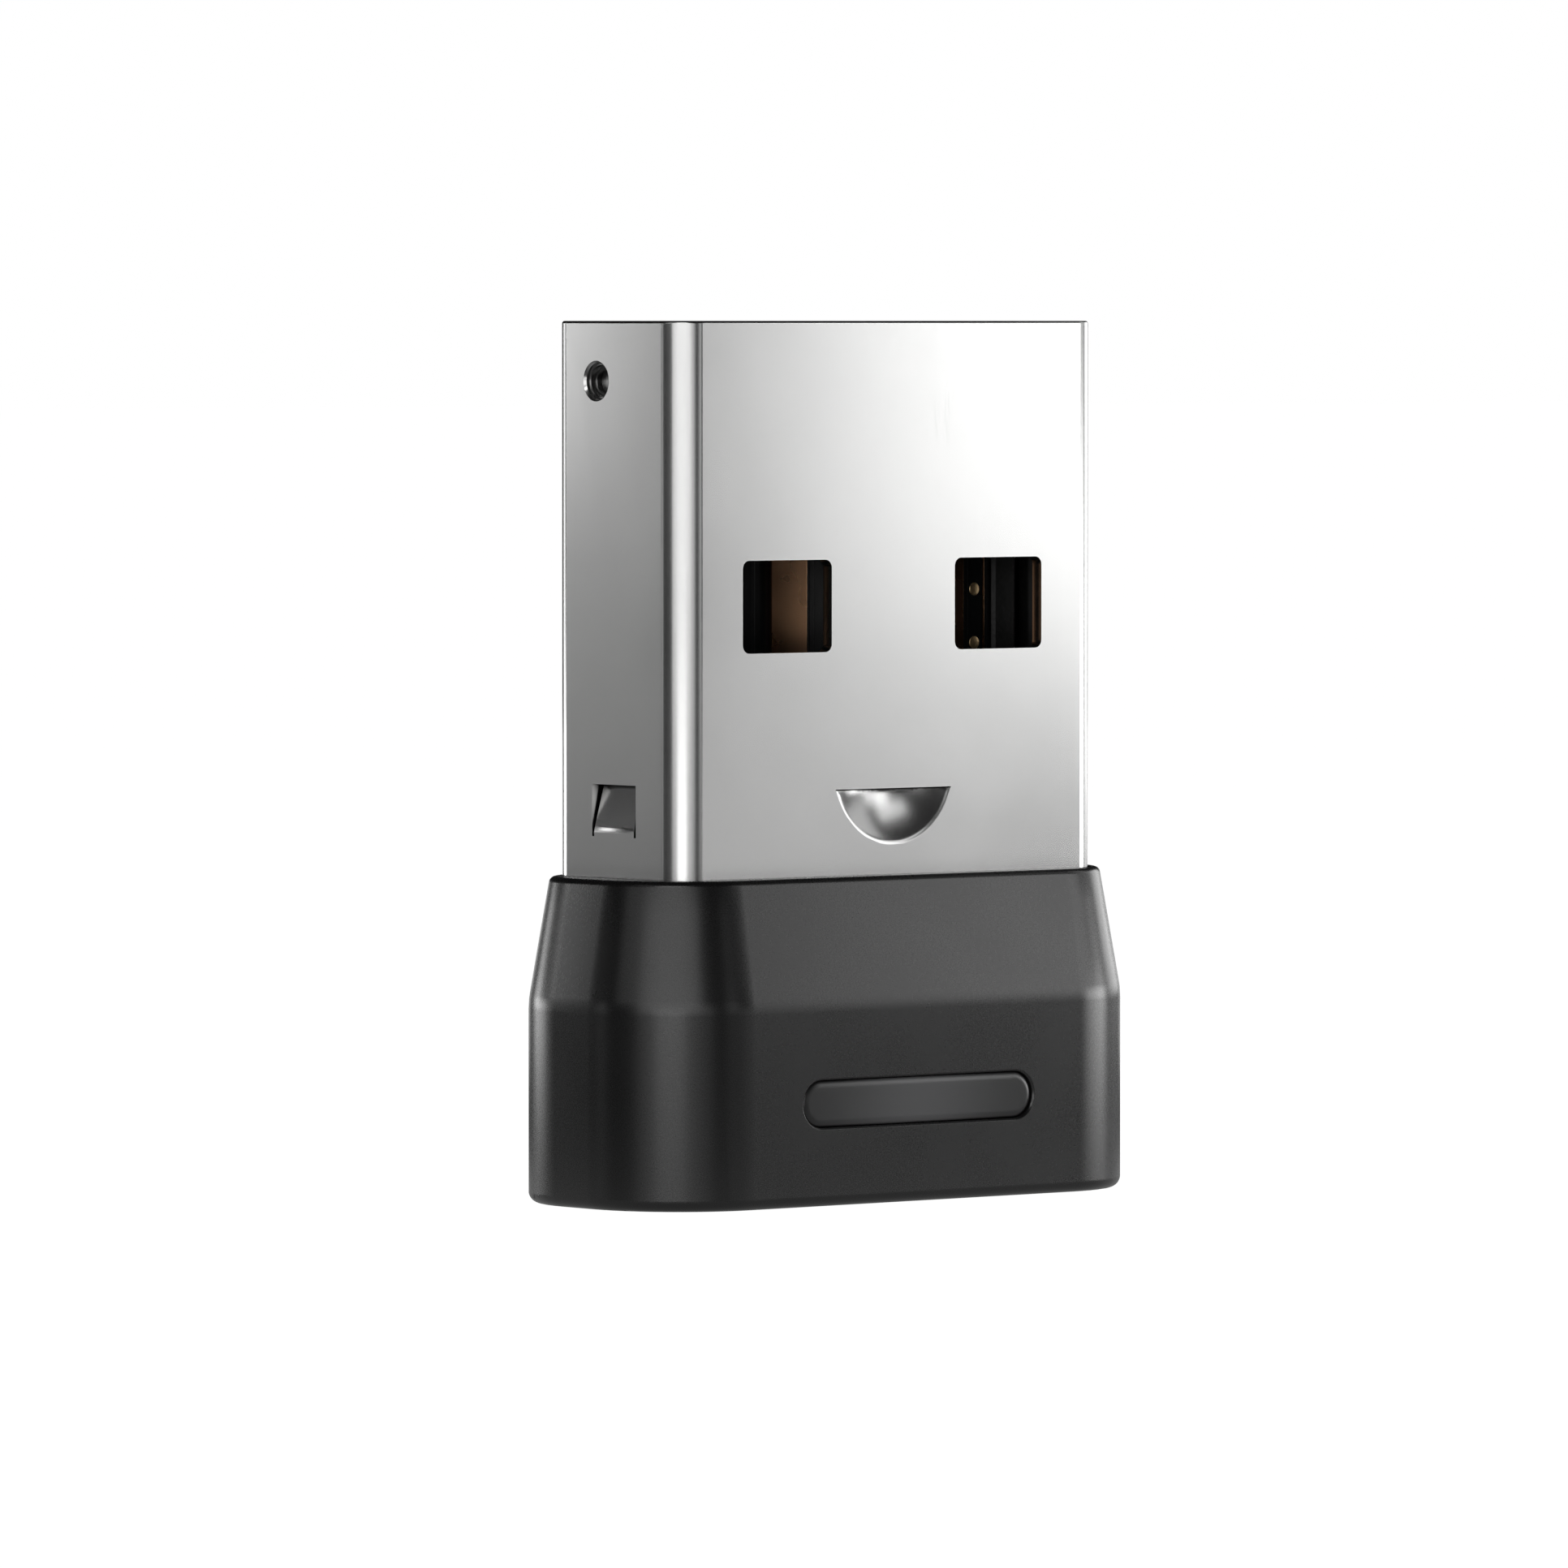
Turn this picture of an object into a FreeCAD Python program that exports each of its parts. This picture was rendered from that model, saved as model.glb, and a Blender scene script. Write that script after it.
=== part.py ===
import FreeCAD, Part
import math
import os

# A short wireless adapter: a folded steel plug held in a moulded boot.
# Lengths are millimetres and angles are degrees. X runs across the plug, Y through its thickness
# with the front at -Y, and Z up to the plug's mouth. The origin is the centre of the boot's base.

# Clearances
fit_gap = 0.05
slide_gap = 0.03
shear_gap = 0.03

# Plug shell, one folded sheet
shell_width = 12.0
shell_depth = 4.5
shell_sheet = 0.3
shell_corner = 0.64
shell_reach = 12.02
mouth_chamfer = 0.06

# Windows in the front and back walls, with drops measured down from the mouth
window_width = 2.5
window_height = 2.0
window_pitch = 6.0
window_top_drop = 5.16
window_corner = 0.18

# Half-moon lance in the front wall
lance_radius = 1.64
lance_centre_drop = 9.68
lance_cut_drop = 10.145
lance_depth = 0.4

# Bent-in tab in each side wall
tab_opening_width = 1.5
tab_slit = 0.08
tab_cut_drop = 10.0
tab_fold_drop = 11.05
tab_fold_radius = 0.5
tab_lean = 16.0

# Stepped dimple in each side wall
dimple_drop = 1.3
dimple_behind_board_face = 0.4
dimple_radius = 0.44
dimple_step = 0.04
dimple_steps = 3
dimple_step_depth = 0.14
dimple_lip = 0.05
dimple_boss_radius = 0.5
dimple_floor = 0.13

# Seam down the back wall, with dovetails
seam_gap = 0.04
dovetail_drops = (3.0, 9.4)
dovetail_neck = 1.0
dovetail_head = 1.5
dovetail_reach = 0.9

# Legs of the shell, soldered to the board
leg_width = 1.4
leg_length = 1.2

# Catch window in each side wall of the shell, and the boot's snap bump in it
catch_width = 1.2
catch_height = 0.6
catch_height_over_end = 1.15
catch_reach = 0.25
catch_clearance = 0.08

# Boot
boot_height = 7.08
boot_waist = 4.37
boot_floor = 1.0
rim_wall_front = 0.364
rim_wall_side = 0.684
rim_inset = 0.466
boot_side_flat = 1.1
waist_round = 2.0
rim_round = 0.15
base_round = 0.25
stop_rib_width = 0.8
stop_rib_inset = 1.45
stop_rib_overlap = 0.1
slot_post_width = 0.8
slot_post_inset = 0.75
slot_post_depth = 0.6
slot_post_height = 0.55

# Light guide behind the pill-shaped opening
lens_side_margin = 1.36
lens_height = 1.03
lens_over_floor = 0.365
shell_over_lens = 1.005
lens_gap = 0.05
lens_recess = 0.04
lens_bevel = 0.1
opening_bevel = 0.04
lens_flange_margin = 0.34
lens_flange_thickness = 0.35
lens_stem_width = 2.0
lens_stem_height = 0.8
lens_to_led = 0.2

# Board that carries the contacts
room_behind_board = 1.15
board_thickness = 0.6
board_top_drop = 0.75
board_foot_gap = 0.1
board_tail_gap = 0.13
board_chamfer = 0.3
leg_gap = 0.05

# Contacts
contact_width = 1.0
contact_thickness = 0.12
contact_tip_bevel = 0.25
outer_contact_inset = 0.85
inner_contact_place = 1.0
outer_contact_drop = 1.25
inner_contact_drop = 2.25
contact_hold = 0.5

# Plated line on the board's front, beside the ground contact
guard_line_inset = 0.19
guard_line_width = 0.05
guard_thickness = 0.03

# Tray round the edges and back of the board
tray_skin = 0.32
tray_rail = 0.77
tray_rise = 0.1
tray_nose_drop = 0.35
tray_setback = 0.32
tray_ledge = 0.4
tray_outer_chamfer = 0.16
tray_inner_chamfer = 0.08
tray_nose_chamfer = 0.22

# Clamp in front of the board, at the floor of the plug's cavity
clamp_top_drop = 9.3
clamp_roof = 1.0
clamp_wall = 0.6
clamp_back_wall = 0.55
clamp_chamfer = 0.2

# Small parts on the board
pad_width = 0.25
pad_pitch = 0.5
pad_length = 0.35
pad_show = 0.04
pad_height = 0.12
body_lift = 0.05
row_gap = 0.6
column_margin = 0.4
radio_side = 3.0
radio_height = 0.7
radio_pads = 5
crystal_width = 1.2
crystal_length = 1.6
crystal_base = 0.35
crystal_lid = 0.15
crystal_rim = 0.15
memory_width = 3.0
memory_length = 2.0
memory_height = 0.55
memory_pads = 4
regulator_side = 2.0
regulator_height = 0.6
regulator_pads = 3
surge_width = 1.6
surge_length = 1.6
surge_height = 0.5
surge_pads = 3
bead_length = 1.6
bead_width = 0.8
bead_height = 0.6
filter_length = 2.0
filter_width = 1.25
filter_height = 0.6
chip_length = 1.0
chip_width = 0.5
capacitor_height = 0.5
capacitor_rows = 5
resistor_height = 0.35
resistor_rows = 4
cap_length = 0.25
cap_rise = 0.02
pin_mark_bevel = 0.2

# Indicator
led_length = 1.6
led_width = 0.8
led_base = 0.2
led_height = 0.6
led_dome_length = 1.0
led_dome_bevel = 0.12

# Meander antenna on the board's tail
antenna_trace = 0.3
antenna_pitch = 0.8
antenna_runs = 10
antenna_low = 0.4
antenna_tall = 1.7
antenna_thickness = 0.05

# Solder between each leg and the board
solder_leg = 0.35
solder_length = 0.8

# Places worked out from the sizes above
mouth_z = boot_height + shell_reach
lens_centre = boot_floor + lens_over_floor + lens_flange_margin + lens_height / 2
shell_end_z = lens_centre + lens_height / 2 + lens_flange_margin + shell_over_lens
front_y = -shell_depth / 2
inner_x = shell_width / 2 - shell_sheet
inner_y = shell_depth / 2 - shell_sheet
inner_corner = shell_corner - shell_sheet
insert_width = 2 * (inner_x - fit_gap)
insert_depth = 2 * (inner_y - slide_gap)
insert_corner = inner_corner - slide_gap
board_back_y = inner_y - room_behind_board
board_front_y = board_back_y - board_thickness
contact_y = board_front_y - contact_thickness
board_tongue_width = insert_width - 2 * (tray_rail + slide_gap)
board_tail_width = 2 * (inner_x - leg_gap)
board_top_z = mouth_z - board_top_drop
board_foot_z = boot_floor + board_foot_gap
board_tail_z = shell_end_z - board_tail_gap
dimple_y = board_front_y + dimple_behind_board_face
outer_contact_place = board_tongue_width / 2 - outer_contact_inset - contact_width / 2
tray_foot_z = shell_end_z + tray_setback
tray_front_y = board_front_y - tray_rise
tray_back_y = insert_depth / 2
tray_pocket_y = tray_back_y - tray_skin
tray_room = board_tongue_width / 2 - tray_ledge
clamp_top_z = mouth_z - clamp_top_drop
clamp_core_left = lance_radius + fit_gap + clamp_wall
clamp_core_right = insert_width / 2 - clamp_wall
pocket_width = shell_width + 2 * fit_gap
pocket_depth = shell_depth + 2 * fit_gap
rim_width = pocket_width + 2 * rim_wall_side
rim_depth = pocket_depth + 2 * rim_wall_front
boot_width = rim_width + 2 * rim_inset
boot_depth = rim_depth + 2 * rim_inset
boot_corner = (boot_depth - boot_side_flat) / 2
lens_length = boot_width - 2 * (boot_corner + lens_side_margin)
catch_z = shell_end_z + catch_height_over_end

# Rows of small parts on the board's back, from the tray's lower end up
filter_row = tray_foot_z + row_gap + filter_width / 2
radio_row = filter_row + filter_width / 2 + row_gap + radio_side / 2
memory_row = radio_row + radio_side / 2 + row_gap + memory_length / 2
resistor_row = memory_row + memory_length / 2 + row_gap + chip_width / 2
regulator_row = memory_row + memory_length / 2 + row_gap + regulator_side / 2
chip_row_pitch = chip_width + row_gap / 2

far = 50.0


def vec(x, y, z):
    return FreeCAD.Vector(x, y, z)


def block(x_low, x_high, y_low, y_high, z_low, z_high):
    """Box between two corners."""
    corner = vec(x_low, y_low, z_low)
    return Part.makeBox(x_high - x_low, y_high - y_low, z_high - z_low, corner)


def centred_block(x, width, y_low, y_high, z, height):
    """Box centred on x and z."""
    return block(x - width / 2, x + width / 2, y_low, y_high, z - height / 2, z + height / 2)


def prism(points, direction):
    """Closed polygon swept along a direction."""
    wire = Part.makePolygon(points + [points[0]])
    return Part.Face(wire).extrude(direction)


def rounded_wire(width, depth, radius, z):
    """Rounded rectangle round the Z axis, as four arcs joined by four lines."""
    arcs = []
    for sign_x, sign_y, start in ((1, -1, 270), (1, 1, 0), (-1, 1, 90), (-1, -1, 180)):
        centre = vec(sign_x * (width / 2 - radius), sign_y * (depth / 2 - radius), z)
        circle = Part.Circle(centre, vec(0, 0, 1), radius)
        arcs.append(Part.Arc(circle, math.radians(start), math.radians(start + 90)).toShape())
    edges = []
    for arc, following in zip(arcs, arcs[1:] + arcs[:1]):
        edges.append(arc)
        line_start = arc.valueAt(arc.LastParameter)
        line_end = following.valueAt(following.FirstParameter)
        edges.append(Part.makeLine(line_start, line_end))
    return Part.Wire(edges)


def rounded_prism(width, depth, radius, z_low, z_high):
    """Upright rounded bar round the Z axis."""
    base = Part.Face(rounded_wire(width, depth, radius, z_low))
    return base.extrude(vec(0, 0, z_high - z_low))


def pill(length, height, y_low, y_high, z):
    """Bar along Y with a pill-shaped section."""
    body = centred_block(0, length - height, y_low, y_high, z, height)
    for sign in (-1, 1):
        centre = vec(sign * (length - height) / 2, y_low, z)
        body = body.fuse(Part.makeCylinder(height / 2, y_high - y_low, centre, vec(0, 1, 0)))
    return body.removeSplitter()


def both_sides(shape):
    """The shape and its mirror image across the plane between left and right."""
    return shape, shape.mirror(vec(0, 0, 0), vec(1, 0, 0))


def edges_level(shape, axis, place):
    """Edges that lie in the plane where the named axis has the given value."""
    found = []
    for edge in shape.Edges:
        box = edge.BoundBox
        low = getattr(box, axis + "Min")
        high = getattr(box, axis + "Max")
        if abs(low - place) < 1e-4 and abs(high - place) < 1e-4:
            found.append(edge)
    return found


def edges_along(shape, axis, tests):
    """Straight edges along one axis whose other coordinates match one of the tests."""
    found = []
    for edge in shape.Edges:
        box = edge.BoundBox
        spans = {"X": box.XLength, "Y": box.YLength, "Z": box.ZLength}
        length = spans.pop(axis)
        if length < 1e-3 or max(spans.values()) > 1e-4:
            continue
        centre = {"X": box.Center.x, "Y": box.Center.y, "Z": box.Center.z}
        for test in tests:
            if all(abs(centre[name] - value) < 1e-3 for name, value in test.items()):
                found.append(edge)
    return found


def half_moon(grow, y_low, y_high, top_gap):
    """Half-moon bar along Y, the outline of the lance, cut straight across at its top."""
    centre = vec(0, y_low, mouth_z - lance_centre_drop)
    disc = Part.makeCylinder(lance_radius + grow, y_high - y_low, centre, vec(0, 1, 0))
    cut_z = mouth_z - lance_cut_drop - top_gap
    return disc.common(block(-far, far, y_low, y_high, -far, cut_z))


def pressed_lance():
    """Spherical dish of the sheet's thickness, kept inside the half-moon."""
    dish_radius = (lance_radius ** 2 + lance_depth ** 2) / (2 * lance_depth)
    centre = vec(0, front_y + lance_depth - dish_radius, mouth_z - lance_centre_drop)
    dish = Part.makeSphere(dish_radius + shell_sheet, centre)
    dish = dish.cut(Part.makeSphere(dish_radius, centre))
    return dish.common(half_moon(0, front_y, 0, shear_gap))


def tab_height():
    return tab_fold_drop - tab_cut_drop


def tab_opening():
    """Opening in the right side wall round the tab, with a relief slit at each end of the fold."""
    fold_z = mouth_z - tab_fold_drop
    half = tab_opening_width / 2
    x_low = inner_x - shell_sheet / 2
    x_high = inner_x + 2 * shell_sheet
    opening = block(x_low, x_high, -half, half, fold_z, fold_z + tab_height())
    for y_low in (-half, half - tab_slit):
        relief = block(x_low, x_high, y_low, y_low + tab_slit, fold_z - tab_slit, fold_z)
        opening = opening.fuse(relief)
    return opening


def bent_tab():
    """Tab of the right side wall, folded along its lower end and leaning into the plug."""
    lean = math.radians(tab_lean)
    fold_z = mouth_z - tab_fold_drop
    face_x = inner_x + shell_sheet
    inside_radius = tab_fold_radius - shell_sheet
    straight = (tab_height() - shear_gap - tab_fold_radius * math.sin(lean)) / math.cos(lean)

    def at(radius, angle, run):
        depth = tab_fold_radius - radius * math.cos(angle) + run * math.sin(lean)
        return vec(face_x - depth, 0, fold_z + radius * math.sin(angle) + run * math.cos(lean))

    outer_arc = Part.Arc(at(tab_fold_radius, 0, 0), at(tab_fold_radius, lean / 2, 0),
                         at(tab_fold_radius, lean, 0)).toShape()
    inner_arc = Part.Arc(at(inside_radius, lean, 0), at(inside_radius, lean / 2, 0),
                         at(inside_radius, 0, 0)).toShape()
    edges = [
        outer_arc,
        Part.makeLine(at(tab_fold_radius, lean, 0), at(tab_fold_radius, lean, straight)),
        Part.makeLine(at(tab_fold_radius, lean, straight), at(inside_radius, lean, straight)),
        Part.makeLine(at(inside_radius, lean, straight), at(inside_radius, lean, 0)),
        inner_arc,
        Part.makeLine(at(inside_radius, 0, 0), at(tab_fold_radius, 0, 0)),
    ]
    width = tab_opening_width - 2 * tab_slit
    tab = Part.Face(Part.Wire(edges)).extrude(vec(0, width, 0))
    tab.translate(vec(0, -width / 2, 0))
    return tab


def tab_recess():
    """Room that the moulded parts leave for the right side's tab."""
    lean = math.radians(tab_lean)
    reach = tab_height() * math.tan(lean) + shell_sheet
    fold_z = mouth_z - tab_fold_drop
    half = tab_opening_width / 2 + fit_gap
    x_low = inner_x + shell_sheet - reach - 2 * fit_gap
    return block(x_low, inner_x, -half, half, fold_z - fit_gap, fold_z + tab_height() + slide_gap)


def about_dimple(points):
    """Solid of revolution round the right dimple's axis, from pairs of depth and radius."""
    face_x = inner_x + shell_sheet
    profile = [vec(face_x - depth, radius, 0) for depth, radius in points]
    face = Part.Face(Part.makePolygon(profile + [profile[0]]))
    solid = face.revolve(vec(0, 0, 0), vec(1, 0, 0), 360)
    solid.translate(vec(0, dimple_y, mouth_z - dimple_drop))
    return solid


def dimple_depth():
    return dimple_steps * dimple_step_depth


def dimple_recess():
    """Stepped recess that the punch leaves, narrowing by one step at a time to a flat floor."""
    outline = [(-dimple_lip, 0), (-dimple_lip, dimple_radius + 2 * dimple_lip)]
    outline.append((dimple_lip, dimple_radius))
    for step in range(dimple_steps):
        radius = dimple_radius - step * dimple_step
        depth = (step + 1) * dimple_step_depth
        outline.append((depth, radius))
        if step < dimple_steps - 1:
            outline.append((depth, radius - dimple_step))
    outline.append((dimple_depth(), 0))
    return about_dimple(outline)


def dimple_boss(grow):
    """Bump that the dimple raises on the inside of the sheet."""
    top = dimple_depth() + dimple_floor + grow
    radius = dimple_boss_radius + grow
    root = shell_sheet / 2
    chamfer = dimple_floor / 2
    outline = [(root, 0), (root, radius), (top - chamfer, radius), (top, radius - chamfer), (top, 0)]
    return about_dimple(outline)


def seam():
    """Slit down the back wall, with its dovetail outlines."""
    y_low = inner_y - seam_gap
    depth = shell_sheet + 2 * seam_gap
    slit = centred_block(0, seam_gap, y_low, y_low + depth, mouth_z / 2, 2 * mouth_z)
    for drop in dovetail_drops:
        z = mouth_z - drop
        points = [
            vec(-seam_gap / 2, y_low, z - dovetail_neck / 2),
            vec(dovetail_reach, y_low, z - dovetail_head / 2),
            vec(dovetail_reach, y_low, z + dovetail_head / 2),
            vec(-seam_gap / 2, y_low, z + dovetail_neck / 2),
        ]
        tongue = prism(points, vec(0, depth, 0))
        outline = Part.Face(Part.makePolygon(points + [points[0]])).makeOffset2D(seam_gap)
        grown = outline.extrude(vec(0, depth, 0))
        rim = grown.cut(tongue).common(block(-seam_gap / 2, far, -far, far, -far, far))
        slit = slit.cut(tongue).fuse(rim)
    return slit


def window_cutter(x):
    """Window through the front and back walls."""
    z_high = mouth_z - window_top_drop
    cutter = block(x - window_width / 2, x + window_width / 2, -shell_depth, shell_depth,
                   z_high - window_height, z_high)
    corners = [edge for edge in cutter.Edges if edge.BoundBox.YLength > shell_depth]
    return cutter.makeFillet(window_corner, corners)


def board_middle_y():
    return (board_front_y + board_back_y) / 2


def plug_shell():
    """Folded tube with its windows, lances, dimples, seam, catch windows and solder legs."""
    shell = rounded_prism(shell_width, shell_depth, shell_corner, shell_end_z, mouth_z)
    shell = shell.makeChamfer(mouth_chamfer, edges_level(shell, "Z", mouth_z))
    bore = rounded_prism(2 * inner_x, 2 * inner_y, inner_corner, shell_end_z - far, mouth_z + far)
    shell = shell.cut(bore)
    for sign in (-1, 1):
        shell = shell.cut(window_cutter(sign * window_pitch / 2))
    shell = shell.cut(half_moon(0, front_y - shell_sheet, -inner_y + shell_sheet, 0))
    shell = shell.fuse(pressed_lance())
    shell = shell.cut(seam())
    middle = board_middle_y()
    catch = block(inner_x - shell_sheet, inner_x + 2 * shell_sheet,
                  -catch_width / 2 - catch_clearance, catch_width / 2 + catch_clearance,
                  catch_z - catch_height / 2 - catch_clearance,
                  catch_z + catch_height / 2 + catch_clearance)
    leg = block(inner_x, inner_x + shell_sheet, middle - leg_width / 2, middle + leg_width / 2,
                shell_end_z - leg_length, shell_end_z)
    tip = edges_along(leg, "X", [
        {"Y": middle - leg_width / 2, "Z": shell_end_z - leg_length},
        {"Y": middle + leg_width / 2, "Z": shell_end_z - leg_length},
    ])
    leg = leg.makeChamfer(shell_sheet, tip)
    for cutter in both_sides(catch.fuse(tab_opening())):
        shell = shell.cut(cutter)
    for added in both_sides(dimple_boss(0)) + both_sides(bent_tab()) + both_sides(leg):
        shell = shell.fuse(added)
    for recess in both_sides(dimple_recess()):
        shell = shell.cut(recess)
    return shell.removeSplitter()


def boot_profile():
    """Section of the boot's wall in X and Z, measured out from the centre of a corner."""
    top = boot_corner - rim_inset
    taper = math.atan2(rim_inset, boot_height - boot_waist)
    waist_run = waist_round * math.tan(taper / 2)
    rim_angle = math.pi / 2 - taper
    rim_run = rim_round * math.tan(rim_angle / 2)

    def on_round(centre_r, centre_z, radius, angle):
        return vec(centre_r + radius * math.cos(angle), 0, centre_z + radius * math.sin(angle))

    base = (boot_corner - base_round, base_round, base_round)
    waist = (boot_corner - waist_round, boot_waist - waist_run, waist_round)
    rim = (top - rim_run, boot_height - rim_round, rim_round)
    base_angles = (-math.pi / 2, -math.pi / 4, 0)
    waist_angles = (0, taper / 2, taper)
    rim_angles = (taper, taper + rim_angle / 2, math.pi / 2)
    edges = []
    reached = vec(0, 0, 0)
    for centre, angles in ((base, base_angles), (waist, waist_angles), (rim, rim_angles)):
        first, middle, last = [on_round(*centre, angle) for angle in angles]
        edges.append(Part.makeLine(reached, first))
        edges.append(Part.Arc(first, middle, last).toShape())
        reached = last
    edges.append(Part.makeLine(reached, vec(0, 0, boot_height)))
    edges.append(Part.makeLine(vec(0, 0, boot_height), vec(0, 0, 0)))
    return Part.Face(Part.Wire(edges))


def boot_body():
    """One wall section, turned at the corners and drawn straight between them."""
    half_x = boot_width / 2 - boot_corner
    half_y = boot_depth / 2 - boot_corner
    section = boot_profile()
    quarter = section.revolve(vec(0, 0, 0), vec(0, 0, 1), 90)
    quarter.translate(vec(half_x, half_y, 0))
    side = section.extrude(vec(0, half_y, 0))
    side.translate(vec(half_x, 0, 0))
    section.rotate(vec(0, 0, 0), vec(0, 0, 1), 90)
    back = section.extrude(vec(half_x, 0, 0))
    back.translate(vec(0, half_y, 0))
    core = block(0, half_x, 0, half_y, 0, boot_height)
    right_back = core.multiFuse([quarter, side, back])
    right = right_back.fuse(right_back.mirror(vec(0, 0, 0), vec(0, 1, 0)))
    return right.fuse(right.mirror(vec(0, 0, 0), vec(1, 0, 0))).removeSplitter()


def snap_bump():
    """Wedge on the boot's right inner wall, sloped above and square below."""
    wall_x = pocket_width / 2
    z_low = catch_z - catch_height / 2
    z_high = catch_z + catch_height / 2
    y = -catch_width / 2
    points = [
        vec(wall_x + fit_gap, y, z_low),
        vec(wall_x - catch_reach, y, z_low),
        vec(wall_x - catch_reach, y, catch_z),
        vec(wall_x, y, z_high),
        vec(wall_x + fit_gap, y, z_high),
    ]
    return prism(points, vec(0, catch_width, 0))


def stop_rib():
    """Rib on the boot's front inner wall, at the right, that the shell's end stands on."""
    wall_y = pocket_depth / 2
    y_low = -wall_y - fit_gap
    y_high = -inner_y + stop_rib_overlap
    return centred_block(pocket_width / 2 - stop_rib_inset, stop_rib_width, y_low, y_high,
                         (boot_floor + shell_end_z) / 2, shell_end_z - boot_floor)


def slot_posts():
    """Two posts on the boot's floor, at the right, with the board's lower edge between them."""
    x = board_tail_width / 2 - slot_post_inset
    y = board_front_y - fit_gap
    z = boot_floor + (slot_post_height - fit_gap) / 2
    height = slot_post_height + fit_gap
    front = centred_block(x, slot_post_width, y - slot_post_depth, y, z, height)
    y = board_back_y + fit_gap
    back = centred_block(x, slot_post_width, y, y + slot_post_depth, z, height)
    return front, back


def housing():
    """Boot, hollowed for the shell from above and opened in front for the light guide."""
    boot = boot_body()
    pocket = rounded_prism(pocket_width, pocket_depth, shell_corner + fit_gap,
                           boot_floor, boot_height + far)
    boot = boot.cut(pocket)
    opening = pill(lens_length, lens_height, -boot_depth, -inner_y, lens_centre)
    boot = boot.cut(opening)
    outer_rim = edges_level(boot, "Y", -boot_depth / 2)
    outer_rim = [edge for edge in outer_rim
                 if abs(edge.BoundBox.Center.z - lens_centre) <= lens_height / 2 + 1e-4
                 and abs(edge.BoundBox.Center.x) <= lens_length / 2]
    boot = boot.makeChamfer(opening_bevel, outer_rim)
    rib = stop_rib()
    back_rib = rib.mirror(vec(0, 0, 0), vec(0, 1, 0))
    added = both_sides(rib) + both_sides(back_rib) + both_sides(snap_bump())
    for post in slot_posts():
        added = added + both_sides(post)
    for piece in added:
        boot = boot.fuse(piece)
    return boot.removeSplitter()


def led_face_y():
    return board_front_y - led_height


def indicator_lens():
    """Pill with a bevelled face, a flange behind the boot's wall and a stem to the light."""
    face_y = -boot_depth / 2 + lens_recess
    wall_y = -pocket_depth / 2
    flange_y = wall_y + lens_flange_thickness
    pane = pill(lens_length - 2 * lens_gap, lens_height - 2 * lens_gap, face_y, wall_y, lens_centre)
    pane = pane.makeChamfer(lens_bevel, edges_level(pane, "Y", face_y))
    flange = pill(lens_length + 2 * lens_flange_margin, lens_height + 2 * lens_flange_margin,
                  wall_y, flange_y, lens_centre)
    stem = centred_block(0, lens_stem_width, flange_y, led_face_y() - lens_to_led,
                         lens_centre, lens_stem_height)
    return pane.fuse(flange).fuse(stem).removeSplitter()


def circuit_board():
    """Tongue of the plug, widening to a tail inside the boot."""
    tongue = board_tongue_width / 2
    tail = board_tail_width / 2
    c = board_chamfer
    right = [
        (tail - c, board_foot_z),
        (tail, board_foot_z + c),
        (tail, board_tail_z),
        (tongue, board_tail_z),
        (tongue, board_top_z - c),
        (tongue - c, board_top_z),
    ]
    outline = right + [(-x, z) for x, z in reversed(right)]
    points = [vec(x, board_front_y, z) for x, z in outline]
    return prism(points, vec(0, board_thickness, 0))


def contact(place, drop):
    """Gold finger on the board's front, with its tip's corners cut, ending under the clamp."""
    z_high = mouth_z - drop
    z_low = clamp_top_z - contact_hold
    blade = centred_block(place, contact_width, contact_y, board_front_y,
                          (z_low + z_high) / 2, z_high - z_low)
    half = contact_width / 2
    tip = edges_along(blade, "Y", [{"X": place - half, "Z": z_high}, {"X": place + half, "Z": z_high}])
    return blade.makeChamfer(contact_tip_bevel, tip)


def guard_line():
    """Thin plated line between the ground contact and the board's edge."""
    z_low = clamp_top_z + fit_gap
    z_high = board_top_z - board_chamfer
    return centred_block(board_tongue_width / 2 - guard_line_inset, guard_line_width,
                         board_front_y - guard_thickness, board_front_y,
                         (z_low + z_high) / 2, z_high - z_low)


def insert_blank(y_low, y_high, z_low, z_high):
    """Slice of the bar that would fill the shell, for the two moulded parts in it."""
    bar = rounded_prism(insert_width, insert_depth, insert_corner, z_low, z_high)
    return bar.common(block(-far, far, y_low, y_high, -far, far))


def board_tray():
    """Tray that the board lies in, with a nose at the mouth and room behind for the parts."""
    nose_z = mouth_z - tray_nose_drop
    tray = insert_blank(tray_front_y, far, tray_foot_z, nose_z)
    outer = insert_width / 2
    tray = tray.makeChamfer(tray_outer_chamfer, edges_along(tray, "Z", [
        {"X": outer, "Y": tray_front_y}, {"X": -outer, "Y": tray_front_y}]))
    tray = tray.makeChamfer(tray_nose_chamfer, edges_along(tray, "X", [
        {"Y": tray_front_y, "Z": nose_z}]))
    slot = board_tongue_width / 2 + slide_gap
    tray = tray.cut(block(-slot, slot, -far, board_back_y, -far, board_top_z + slide_gap))
    tray = tray.makeChamfer(tray_inner_chamfer, edges_along(tray, "Z", [
        {"X": slot, "Y": tray_front_y}, {"X": -slot, "Y": tray_front_y}]))
    tray = tray.cut(block(-tray_room, tray_room, -far, tray_pocket_y, -far, board_top_z - tray_ledge))
    for cutter in both_sides(tab_recess()) + both_sides(dimple_boss(fit_gap)):
        tray = tray.cut(cutter)
    return tray.removeSplitter()


def contact_places():
    return (-outer_contact_place, -inner_contact_place, inner_contact_place, outer_contact_place)


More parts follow.
